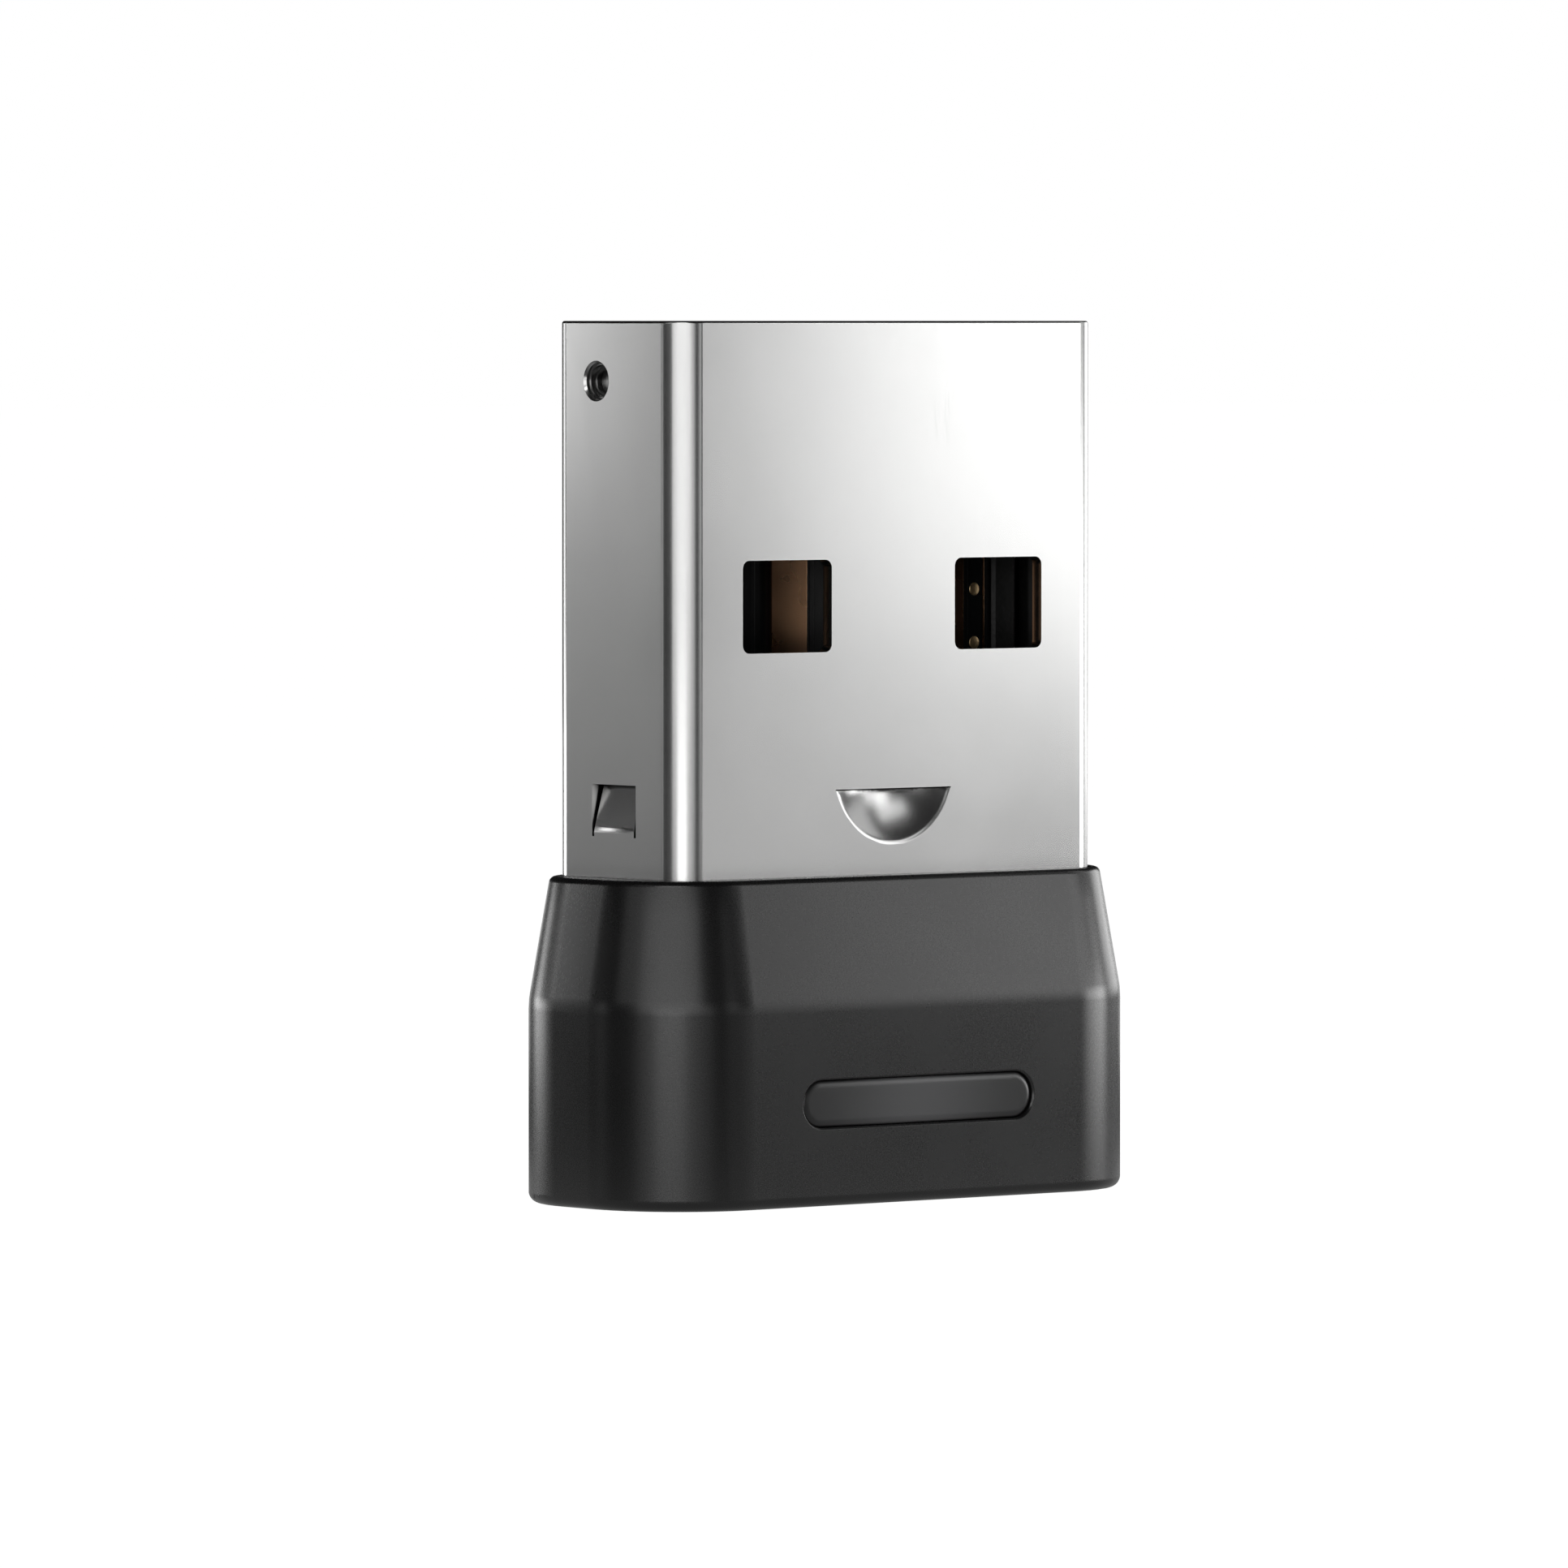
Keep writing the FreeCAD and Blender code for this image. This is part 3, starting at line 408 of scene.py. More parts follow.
def plated_steel(metal):
    """Nickel-plated sheet, rolled along the plug, with a painted highlight on its sheared edges and
    painted shade in its recesses and inside the plug.
    """
    made, tree, shader = new_material("plated_steel")
    grain = use_group(tree, "fine_grain", Scale=14.0, Stretch=(1.0, 1.0, 0.12), Patch_Scale=0.35)
    wear_and_glint = use_group(tree, "edge_wear_and_glint", Reach=0.07 * MM, Breakup=7.0)
    recess_shade = use_group(tree, "recess_shade", Reach=0.4 * MM)
    scratches = use_group(tree, "scratches", Scale=2.6, Angle=(0.0, 0.12, 0.3))["Scratches"]
    # Edges painted lighter as a highlight; recesses and the inside of the plug painted darker as shade
    base = layered(tree, grain["Patches"], metal.steel, 0.97, 1.02, (wear_and_glint["Edges"], 0.6, 1.3),
                   (recess_shade["Depth"], 0.45, 0.45), (shade_inside_plug(tree), 1.0, 0.06))
    shader.inputs["Metallic"].default_value = 1.0
    rough = wavering(tree, grain["Grain"], metal.steel_roughness, 0.006)
    rough = calculate(tree, "MULTIPLY_ADD", grain["Patches"], 0.012, rough)
    rough = calculate(tree, "MULTIPLY_ADD", scratches, 0.02, rough)
    height = calculate(tree, "MULTIPLY_ADD", scratches, -0.6, grain["Grain"])
    finish_shader(tree, shader, base, rough, height, strength=0.01, depth=0.001)
    return made


def boot_plastic(plastic):
    """Black moulded plastic with a fine satin skin."""
    made, tree, shader = new_material("boot_plastic")
    grain = use_group(tree, "fine_grain", Scale=16.0, Patch_Scale=0.45)
    wear_and_glint = use_group(tree, "edge_wear_and_glint", Reach=0.12 * MM, Breakup=5.0)
    specks = use_group(tree, "specks", Scale=2.2, Size=0.05)
    base = layered(tree, grain["Patches"], plastic.boot, 0.9, 1.2, (wear_and_glint["Worn"], 1.0, 3.0),
                   (specks["Specks"], 0.5, 6.0))
    rough = wavering(tree, grain["Grain"], plastic.boot_roughness, 0.015)
    rough = calculate(tree, "MULTIPLY_ADD", grain["Patches"], 0.015, rough)
    finish_shader(tree, shader, base, rough, grain["Grain"], strength=0.06, depth=0.003)
    return made


def smoked_lens(plastic):
    """Dark smoked light guide, painted paler towards its middle as a highlight."""
    made, tree, shader = new_material("smoked_lens")
    grain = use_group(tree, "fine_grain", Scale=9.0, Patch_Scale=0.6)
    specks = use_group(tree, "specks", Scale=3.0, Size=0.05)
    across = add_node(tree, "ShaderNodeSeparateXYZ", {"Vector": place_in_mm(tree)}).outputs["X"]
    # Reach of the painted highlight that pales the guide's middle
    highlight_reach = 3.2
    middle = spread(tree, calculate(tree, "ABSOLUTE", across), highlight_reach, 0.0,
                    interpolation_type="SMOOTHSTEP")
    base = layered(tree, grain["Patches"], plastic.lens, 0.9, 1.2, (middle, 1.0, 10.0),
                   (specks["Specks"], 0.4, 5.0))
    rough = between(tree, grain["Grain"], plastic.lens_roughness - 0.02,
                    plastic.lens_roughness + 0.03)
    finish_shader(tree, shader, base, rough, grain["Grain"], strength=0.05, depth=0.003)
    return made


def moulded_part(name, colour, roughness, grain_scale):
    """Plain moulded plastic or ceramic, with grain, light worn edges and painted shade inside the
    plug.
    """
    made, tree, shader = new_material(name)
    grain = use_group(tree, "fine_grain", Scale=grain_scale, Patch_Scale=0.8)
    wear_and_glint = use_group(tree, "edge_wear_and_glint", Reach=0.08 * MM, Breakup=8.0)
    # Worn edges are lighter; the inside of the plug is painted darker as shade
    base = layered(tree, grain["Patches"], colour, 0.85, 1.2, (wear_and_glint["Worn"], 0.6, 2.2),
                   (shade_inside_plug(tree), 1.0, 0.4))
    shader.inputs["Specular IOR Level"].default_value = 0.25
    rough = wavering(tree, grain["Grain"], roughness, 0.06)
    finish_shader(tree, shader, base, rough, grain["Grain"], strength=0.3, depth=0.008)
    return made


def plated_metal(name, colour, roughness, edge_glint):
    """Plated or soldered metal with cloudy patches, a faint grain, a painted highlight on its edges
    and painted shade in its recesses and inside the plug.
    """
    made, tree, shader = new_material(name)
    grain = use_group(tree, "fine_grain", Scale=11.0, Stretch=(1.0, 1.0, 0.3), Patch_Scale=0.9)
    wear_and_glint = use_group(tree, "edge_wear_and_glint", Reach=0.05 * MM, Breakup=9.0)
    recess_shade = use_group(tree, "recess_shade", Reach=0.3 * MM)
    # Edges painted lighter as a highlight; recesses and the inside of the plug painted darker as shade
    base = layered(tree, grain["Patches"], colour, 0.94, 1.04, (wear_and_glint["Edges"], 0.5, edge_glint),
                   (recess_shade["Depth"], 0.5, 0.4), (shade_inside_plug(tree), 1.0, 0.3))
    shader.inputs["Metallic"].default_value = 1.0
    rough = between(tree, grain["Patches"], roughness - 0.015, roughness + 0.02)
    finish_shader(tree, shader, base, rough, grain["Grain"], strength=0.02, depth=0.001)
    return made


def board_mask(plastic):
    """Black solder mask over copper, with the tracks under it standing a little proud and painted
    shade inside the plug.
    """
    made, tree, shader = new_material("board")
    tracks = add_node(tree, "ShaderNodeTexBrick", {
        "Vector": place_in_mm(tree), "Scale": 0.9, "Mortar Size": 0.06, "Mortar Smooth": 0.3,
    }).outputs["Fac"]
    grain = use_group(tree, "fine_grain", Scale=10.0, Patch_Scale=0.7)
    specks = use_group(tree, "specks", Scale=4.0, Size=0.06)
    # Tracks and specks are lighter; the inside of the plug is painted darker as shade
    base = layered(tree, tracks, plastic.board, 1.0, 1.8, (specks["Specks"], 0.5, 5.0),
                   (shade_inside_plug(tree), 1.0, 0.3))
    shader.inputs["Specular IOR Level"].default_value = 0.1
    rough = between(tree, grain["Patches"], 0.38, 0.5)
    height = calculate(tree, "MULTIPLY_ADD", grain["Grain"], 0.2, tracks)
    finish_shader(tree, shader, base, rough, height, strength=0.4, depth=0.02)
    return made


def led_resin():
    """Pale clear resin over the light's die."""
    made, tree, shader = new_material("led_resin")
    grain = use_group(tree, "fine_grain", Scale=12.0, Patch_Scale=1.2)
    base = blend_colours(tree, grain["Patches"], (0.75, 0.76, 0.68, 1.0), (0.88, 0.88, 0.84, 1.0))
    rough = between(tree, grain["Grain"], 0.12, 0.2)
    finish_shader(tree, shader, base, rough, grain["Grain"], strength=0.1, depth=0.004)
    return made


def floor_paper():
    """Pale seamless paper, overexposed to the camera, that lights the part from close by."""
    made, tree, shader = new_material("floor_paper")
    grain = use_group(tree, "fine_grain", Scale=0.6, Patch_Scale=0.01)
    base = layered(tree, grain["Patches"], (0.02, 0.02, 0.02), 1.0, 1.5)
    away = add_node(tree, "ShaderNodeVectorMath", {"Vector": place_in_mm(tree)},
                    operation="LENGTH").outputs["Value"]
    near, far = 8.0, 26.0
    glow = spread(tree, away, near, far, 0.38, 0.05)
    seen = add_node(tree, "ShaderNodeLightPath").outputs["Is Camera Ray"]
    shader.inputs["Emission Color"].default_value = (1.0, 1.0, 1.0, 1.0)
    feed(tree, shader.inputs["Emission Strength"], calculate(tree, "MAXIMUM", glow, seen))
    finish_shader(tree, shader, base, 0.9, grain["Grain"], strength=0.1, depth=0.02)
    return made


def soften(piece, width, segments=3):
    """Welds a piece's loose triangles, rounds its sharp edges and evens its shading."""
    weld = piece.modifiers.new("weld", "WELD")
    weld.merge_threshold = 0.0005 * MM
    flatten = piece.modifiers.new("flatten", "DECIMATE")
    flatten.decimate_type = "DISSOLVE"
    flatten.angle_limit = math.radians(0.5)
    if width > 0:
        bevel = piece.modifiers.new("edges", "BEVEL")
        bevel.width = width
        bevel.segments = segments
        bevel.limit_method = "ANGLE"
        bevel.angle_limit = SHARP_EDGE
    shade = piece.modifiers.new("shade", "NODES")
    shade.node_group = bpy.data.node_groups["smooth_shading"]
    normals = piece.modifiers.new("normals", "WEIGHTED_NORMAL")
    normals.keep_sharp = True


def tree_smooth_shading():
    """Geometry nodes that shade smooth, apart from edges sharper than the limit."""
    tree, start, end = new_group("smooth_shading", {"Geometry": None, "Angle": math.radians(32)},
                                 {"Geometry": None}, "Geometry")
    tree.is_modifier = True
    faces = add_node(tree, "GeometryNodeSetShadeSmooth",
                     {"Geometry": start["Geometry"], "Shade Smooth": True}, domain="FACE")
    angle = add_node(tree, "GeometryNodeInputMeshEdgeAngle").outputs["Unsigned Angle"]
    gentle = add_node(tree, "FunctionNodeCompare", {0: angle, 1: start["Angle"]},
                      operation="LESS_THAN", data_type="FLOAT").outputs[0]
    edges = add_node(tree, "GeometryNodeSetShadeSmooth",
                     {"Geometry": faces.outputs[0], "Shade Smooth": gentle}, domain="EDGE")
    tree.links.new(edges.outputs[0], end["Geometry"])


def finish_piece(piece, material, slot, *replaced):
    """Gives a new piece its finish and lets it ride with the adapter."""
    piece.data.materials.clear()
    piece.data.materials.append(material)
    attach(piece, "root")
    if replaced:
        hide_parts(*replaced)


def dress(name, material, edge_round):
    """Puts a material on a frame node and softens it."""
    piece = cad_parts[name]
    piece.data.materials.clear()
    piece.data.materials.append(material)
    soften(piece, edge_round, segments=2)


def new_object(name, data):
    """Links a new object to the scene."""
    made = bpy.data.objects.new(name, data)
    bpy.context.scene.collection.objects.link(made)
    return made


def add_prism(bm, outline, axis, low, high):
    """Closed prism along an axis, from a flat outline in the other two."""
    def at(point, place):
        corner = list(point)
        corner.insert("XYZ".index(axis), place)
        return bm.verts.new(corner)

    near = [at(point, low) for point in outline]
    far = [at(point, high) for point in outline]
    for corners in zip(near, near[1:] + near[:1], far[1:] + far[:1], far):
        bm.faces.new(corners)
    bm.faces.new(near)
    bm.faces.new(far)


def add_loft(bm, rings, closed):
    """Quads between rings of equal counts, closed end to end or capped."""
    made = [[bm.verts.new(point) for point in ring] for ring in rings]
    pairs = list(zip(made, made[1:]))
    if closed:
        pairs.append((made[-1], made[0]))
    else:
        bm.faces.new(made[0])
        bm.faces.new(made[-1])
    for lower, upper in pairs:
        for corners in zip(lower, lower[1:] + lower[:1], upper[1:] + upper[:1], upper):
            bm.faces.new(corners)


def rounded_rectangle(width, height, radius, per_corner, centre=(0.0, 0.0), span=math.pi / 2):
    """Points round a rounded rectangle, whose corners turn by the span and crease at their ends."""
    half_corner = radius * math.sqrt(0.5)
    arc_radius = half_corner / math.sin(span / 2)
    shift = (half_corner - arc_radius * math.cos(span / 2)) * math.sqrt(0.5)
    points = []
    for sign_x, sign_y, middle in ((1, -1, -45), (1, 1, 45), (-1, 1, 135), (-1, -1, 225)):
        for step in range(per_corner + 1):
            angle = math.radians(middle) + span * (step / per_corner - 0.5)
            points.append((
                centre[0] + sign_x * (width / 2 - radius + shift) + arc_radius * math.cos(angle),
                centre[1] + sign_y * (height / 2 - radius + shift) + arc_radius * math.sin(angle)))
    return points


def solid_object(name, build, *values):
    """Object whose closed mesh is made by a function that fills a bmesh."""
    bm = bmesh.new()
    build(bm, *values)
    bmesh.ops.recalc_face_normals(bm, faces=bm.faces)
    mesh = bpy.data.meshes.new(name)
    bm.to_mesh(mesh)
    bm.free()
    return new_object(name, mesh)


def combine(piece, tool, operation):
    """Cuts or joins a tool with a piece, and removes the tool."""
    modifier = piece.modifiers.new("combine", "BOOLEAN")
    modifier.operation = operation
    modifier.solver = "EXACT"
    modifier.object = tool
    depsgraph = bpy.context.evaluated_depsgraph_get()
    mesh = bpy.data.meshes.new_from_object(piece.evaluated_get(depsgraph))
    piece.modifiers.clear()
    old = piece.data
    piece.data = mesh
    bpy.data.meshes.remove(old)
    bpy.data.objects.remove(tool)


def shell_tube(bm, sizes):
    """Folded tube with a rounded mouth."""
    width = SHELL_HIGH.x - SHELL_LOW.x
    depth = 2 * SHELL_HIGH.y
    mouth_steps = 5
    section = [(0.0, sizes.end_height)]
    for step in range(mouth_steps + 1):
        angle = math.radians(90 * step / mouth_steps)
        section.append((sizes.mouth_round * (1 - math.cos(angle)),
                        SHELL_HIGH.z - sizes.mouth_round * (1 - math.sin(angle))))
    section += [(sizes.sheet, SHELL_HIGH.z), (sizes.sheet, sizes.end_height)]
    rings = []
    for inset, z in section:
        outline = rounded_rectangle(width - 2 * inset, depth - 2 * inset, sizes.corner - inset,
                                    per_corner=20, span=sizes.corner_turn)
        rings.append([(x, y, z) for x, y in outline])
    add_loft(bm, rings, closed=True)


def seam_path(sizes):
    """Line of the seam, from below the shell to above its mouth."""
    far = SHELL_HIGH.z
    path = [(0.0, 0.0)]
    for drop in (sizes.lower_dovetail, sizes.upper_dovetail):
        z = far - drop
        path += [(0.0, z - sizes.seam_neck / 2), (sizes.seam_reach, z - sizes.seam_head / 2),
                 (sizes.seam_reach, z + sizes.seam_head / 2), (0.0, z + sizes.seam_neck / 2)]
    path.append((0.0, 2 * far))
    return path


def ribbon(path, width):
    """Outline of a band of even width along a path, mitred at its corners."""
    left, right = [], []
    for number, point in enumerate(path):
        here = Vector(point)
        before = (here - Vector(path[number - 1])).normalized() if number else None
        after = (Vector(path[number + 1]) - here).normalized() if number < len(path) - 1 else None
        before = before or after
        after = after or before
        across = Vector((-(before + after).y, (before + after).x)).normalized()
        reach = width / 2 / across.dot(Vector((-before.y, before.x)))
        left.append(tuple(here + across * reach))
        right.append(tuple(here - across * reach))
    return left + right[::-1]


def shell_openings(bm, sizes):
    """Windows, seam, and the side walls' tab openings and catch windows."""
    reach = sizes.sheet
    front = (SHELL_FRONT - reach, SHELL_FRONT + 2 * reach)
    back = (SHELL_HIGH.y - 2 * reach, SHELL_HIGH.y + reach)
    z = SHELL_HIGH.z - sizes.window_drop - sizes.window_height / 2
    for sign in (-1, 1):
        outline = rounded_rectangle(sizes.window_width, sizes.window_height, sizes.window_corner,
                                    per_corner=8, centre=(sign * sizes.window_pitch / 2, z))
        add_prism(bm, outline, "Y", *front)
        add_prism(bm, outline, "Y", *back)
    add_prism(bm, ribbon(seam_path(sizes), sizes.seam_gap), "Y", *back)
    fold = SHELL_HIGH.z - sizes.tab_fold
    cut = SHELL_HIGH.z - sizes.tab_cut
    root = fold - sizes.tab_slit
    half = sizes.tab_width / 2
    tab = half - sizes.tab_slit
    opening = [(-half, root), (-tab, root), (-tab, fold), (tab, fold), (tab, root), (half, root),
               (half, cut), (-half, cut)]
    half = sizes.catch_width / 2
    middle = sizes.end_height + sizes.catch_rise
    low, high = middle - sizes.catch_height / 2, middle + sizes.catch_height / 2
    catch = [(-half, low), (half, low), (half, high), (-half, high)]
    for outline in (opening, catch):
        add_prism(bm, outline, "X", SHELL_HIGH.x - 2 * reach, SHELL_HIGH.x + reach)
        add_prism(bm, outline, "X", SHELL_LOW.x - reach, SHELL_LOW.x + 2 * reach)


def tab_outline(sizes):
    """Right tab's section in X and Z: a root in the wall, the fold, and the leaning blade."""
    fold = SHELL_HIGH.z - sizes.tab_fold
    root = fold - sizes.tab_slit
    inner = sizes.tab_bend - sizes.sheet
    lean = sizes.tab_lean
    rise = sizes.tab_fold - sizes.tab_cut - sizes.shear_gap
    straight = (rise - sizes.tab_bend * math.sin(lean)) / math.cos(lean)
    fold_steps = 6

    def at(radius, angle, run):
        depth = sizes.tab_bend - radius * math.cos(angle) + run * math.sin(lean)
        return (SHELL_HIGH.x - depth, fold + radius * math.sin(angle) + run * math.cos(lean))

    def bend(radius):
        return [at(radius, lean * step / fold_steps, 0) for step in range(fold_steps + 1)]

    points = [(SHELL_HIGH.x, root)] + bend(sizes.tab_bend)
    points += [at(sizes.tab_bend, lean, straight), at(inner, lean, straight)]
    return points + bend(inner)[::-1] + [(SHELL_HIGH.x - sizes.sheet, root)]


def add_turned(bm, sizes, sign, profile):
    """Solid turned round a side dimple's axis, from pairs of depth and radius."""
    z = SHELL_HIGH.z - sizes.dimple_drop
    around = 48
    rings = []
    for depth, radius in profile:
        ring = []
        for step in range(around):
            angle = 2 * math.pi * step / around
            ring.append((sign * (SHELL_HIGH.x - depth),
                         sizes.dimple_place + radius * math.cos(angle),
                         z + radius * math.sin(angle)))
        rings.append(ring)
    add_loft(bm, rings, closed=False)


def shell_additions(bm, sizes):
    """Dimples' bosses, bent tabs and solder legs, on both sides."""
    top = sizes.dimple_steps * sizes.dimple_step_depth + sizes.dimple_floor
    round_off = sizes.dimple_floor / 2
    boss = [(sizes.sheet / 2, sizes.dimple_boss), (top - round_off, sizes.dimple_boss),
            (top, sizes.dimple_boss - round_off)]
    tab = tab_outline(sizes)
    tab_half = sizes.tab_width / 2 - sizes.tab_slit
    middle = (BOARD_LOW.y + BOARD_HIGH.y) / 2
    half = sizes.leg_width / 2
    low = sizes.end_height - sizes.leg_length
    high = sizes.end_height + sizes.sheet
    chamfer = sizes.leg_chamfer
    leg = [(middle + across, z) for across, z in (
        (chamfer - half, low), (half - chamfer, low), (half, low + chamfer), (half, high),
        (-half, high), (-half, low + chamfer))]
    for sign in (1, -1):
        add_turned(bm, sizes, sign, boss)
        add_prism(bm, [(sign * x, z) for x, z in tab], "Y", -tab_half, tab_half)
        add_prism(bm, leg, "X", *sorted((sign * SHELL_HIGH.x, sign * (SHELL_HIGH.x - sizes.sheet))))


def dimple_recesses(bm, sizes):
    """Stepped recesses that the punch leaves in both sides."""
    lip = 0.05 * MM
    wall = sizes.dimple_radius - lip
    profile = [(-lip, sizes.dimple_radius + lip), (lip, wall)]
    for step in range(sizes.dimple_steps):
        depth = (step + 1) * sizes.dimple_step_depth
        radius = wall - step * sizes.dimple_step
        profile.append((depth, radius))
        if step < sizes.dimple_steps - 1:
            profile.append((depth, radius - sizes.dimple_step))
    for sign in (-1, 1):
        add_turned(bm, sizes, sign, profile)


def lance_angles(reach, height):
    """Angles along the lance's arc from its right end to its left end."""
    steps = 72
    end = math.asin(height / reach)
    return [-end - (math.pi - 2 * end) * step / steps for step in range(steps + 1)]


def lance_cutter(bm, sizes):
    """Half-moon hole that the pressed lance is joined into."""
    reach = sizes.lance_radius + sizes.lance_bend
    centre = SHELL_HIGH.z - sizes.lance_drop
    height = sizes.lance_cut - sizes.lance_drop
    end = math.asin(height / reach)
    angles = [-end] + lance_angles(reach, height + sizes.shear_gap) + [end - math.pi]
    outline = [(reach * math.cos(angle), centre + reach * math.sin(angle)) for angle in angles]
    add_prism(bm, outline, "Y", SHELL_FRONT - sizes.sheet, SHELL_FRONT + 2 * sizes.sheet)


def lance_sink(sizes, radius):
    """Depth of the lance's face at a distance from its centre, with a bend along its arc."""
    ball = (sizes.lance_radius ** 2 + sizes.lance_depth ** 2) / (2 * sizes.lance_depth)
    bend = sizes.lance_bend
    inner = sizes.lance_radius - bend
    base = ball - sizes.lance_depth
    if radius <= inner:
        return math.sqrt(ball ** 2 - radius ** 2) - base
    edge_sink = math.sqrt(ball ** 2 - inner ** 2) - base
    left = (sizes.lance_radius + bend - radius) / (2 * bend)
    return edge_sink * left ** 2


def press_lance(piece, sizes):
    """Replaces the walls of the half-moon hole by the pressed lance, joined along its arc."""
    reach = sizes.lance_radius + sizes.lance_bend
    centre = SHELL_HIGH.z - sizes.lance_drop
    height = sizes.lance_cut - sizes.lance_drop + sizes.shear_gap
    bm = bmesh.new()
    bm.from_mesh(piece.data)
    near = 0.001 * MM
    walls = [face for face in bm.faces if all(
        abs(math.hypot(vertex.co.x, vertex.co.z - centre) - reach) < near
        and vertex.co.z < centre - height + near and vertex.co.y < 0 for vertex in face.verts)]
    bmesh.ops.delete(bm, geom=walls, context="FACES_ONLY")
    bend_steps = 6
    dish_steps = 16
    radii = [reach - 2 * sizes.lance_bend * step / bend_steps for step in range(bend_steps + 1)]
    inner = radii[-1]
    radii += [inner - (inner - height) * step / dish_steps for step in range(1, dish_steps + 1)]
    columns = []
    for angle in lance_angles(reach, height):
        chord = height / -math.sin(angle)
        column = []
        for radius in radii:
            radius = max(radius, chord)
            x, z = radius * math.cos(angle), centre + radius * math.sin(angle)
            face = SHELL_FRONT + lance_sink(sizes, radius)
            column.append([bm.verts.new((x, y, z)) for y in (face, face + sizes.sheet)])
        columns.append(column)
    for left, right in zip(columns, columns[1:]):
        for corners in zip(left, left[1:], right[1:], right):
            for side in (0, 1):
                bm.faces.new([corner[side] for corner in corners])
        bm.faces.new((*left[-1], *reversed(right[-1])))
    bmesh.ops.remove_doubles(bm, verts=bm.verts, dist=0.0002 * MM)
    bmesh.ops.recalc_face_normals(bm, faces=bm.faces)
    bm.to_mesh(piece.data)
    bm.free()


class ADAPTER_OT_plug_shell(bpy.types.Operator):
    """Folds, cuts and presses the plug shell"""

    bl_idname = "adapter.plug_shell"
    bl_label = "Plug Shell"

    def execute(self, context):
        sizes = context.scene.adapter_shell
        metal = context.scene.adapter_metal
        piece = solid_object("plug_shell_finished", shell_tube, sizes)
        for build, operation in ((shell_openings, "DIFFERENCE"), (shell_additions, "UNION"),
                                 (dimple_recesses, "DIFFERENCE"), (lance_cutter, "DIFFERENCE")):
            combine(piece, solid_object("tool", build, sizes), operation)
        press_lance(piece, sizes)
        soften(piece, metal.edge_round)
        finish_piece(piece, plated_steel(metal), "plated_steel", "plug_shell")
        return {"FINISHED"}


def light_guide(bm, sizes):
    """Pillowed face, flange behind the boot's wall, and stem to the light, as one stack of rings."""
    z = (LENS_LOW.z + LENS_HIGH.z) / 2
    shrink = 2 * sizes.margin + 2 * sizes.gap
    long = LENS_HIGH.x - LENS_LOW.x - shrink
    tall = LENS_HIGH.z - LENS_LOW.z - shrink
    rings = []

    def add_ring(width, height, radius, y):
        outline = rounded_rectangle(width, height, radius, per_corner=16, centre=(0.0, z))
        rings.append([(x, y, place) for x, place in outline])

    face_steps = 12
    for step in range(face_steps, -1, -1):
        part = step / face_steps
        width = long - 2 * sizes.edge * part
        height = tall - 2 * sizes.edge * part
        rise = sizes.pillow * math.sqrt(1 - (1 - part) ** 2)
        add_ring(width, height, height / 2, LENS_LOW.y + sizes.pillow - rise)
    back = -sizes.flange_front
    behind = back + sizes.flange
    add_ring(long, tall, tall / 2, back)
    for y in (back, behind):
        add_ring(long + shrink, tall + shrink, (tall + shrink) / 2, y)
    for y in (behind, LENS_HIGH.y):
        add_ring(sizes.stem_width, sizes.stem_height, sizes.stem_height / 4, y)
    add_loft(bm, rings, closed=False)


class ADAPTER_OT_light_guide(bpy.types.Operator):
    """Makes the smoked light guide"""

    bl_idname = "adapter.light_guide"
    bl_label = "Light Guide"

    def execute(self, context):
        sizes = context.scene.adapter_light_guide
        piece = solid_object("light_guide", light_guide, sizes)
        soften(piece, 0.0)
        finish_piece(piece, smoked_lens(context.scene.adapter_plastic), "smoked_lens",
                     "indicator_lens")
        return {"FINISHED"}


def tree_plated_holes(material):
    """Geometry nodes for a row of low plated domes, evenly spaced downwards."""
    inputs = {"Radius": 0.1 * MM, "Rise": 0.01 * MM, "Pitch": MM, "Count": 1,
              "Start": (0.0, 0.0, 0.0)}
    tree, start, end = new_group("plated_holes", inputs, {"Geometry": None}, "Geometry")
    tree.is_modifier = True
    down = calculate(tree, "MULTIPLY", start["Pitch"], -1.0)
    step = add_node(tree, "ShaderNodeCombineXYZ", {"Z": down}).outputs[0]
    row = add_node(tree, "GeometryNodeMeshLine",
                   {"Count": start["Count"], "Start Location": start["Start"], "Offset": step})
    ball = add_node(tree, "GeometryNodeMeshUVSphere", {"Segments": 28, "Rings": 14, "Radius": 1.0})
    size = add_node(tree, "ShaderNodeCombineXYZ",
                    {"X": start["Radius"], "Y": start["Rise"], "Z": start["Radius"]}).outputs[0]
    domes = add_node(tree, "GeometryNodeInstanceOnPoints",
                     {"Points": row.outputs[0], "Instance": ball.outputs[0], "Scale": size})
    real = add_node(tree, "GeometryNodeRealizeInstances", {0: domes.outputs[0]})
    smooth = add_node(tree, "GeometryNodeSetShadeSmooth", {0: real.outputs[0]})
    done = add_node(tree, "GeometryNodeSetMaterial",
                    {"Geometry": smooth.outputs[0], "Material": material})
    tree.links.new(done.outputs[0], end["Geometry"])
    return tree


def nodes_to_mesh(name, tree, values):
    """Plain mesh object from a geometry node tree, with its inputs set by name."""
    source = new_object(name + "_source", bpy.data.meshes.new(name + "_source"))
    modifier = source.modifiers.new("nodes", "NODES")
    modifier.node_group = tree
    for item in tree.interface.items_tree:
        if item.in_out == "INPUT" and item.name in values:
            modifier[item.identifier] = values[item.name]
    depsgraph = bpy.context.evaluated_depsgraph_get()
    mesh = bpy.data.meshes.new_from_object(source.evaluated_get(depsgraph))
    old = source.data
    bpy.data.objects.remove(source)
    bpy.data.meshes.remove(old)
    mesh.name = name
    return new_object(name, mesh)


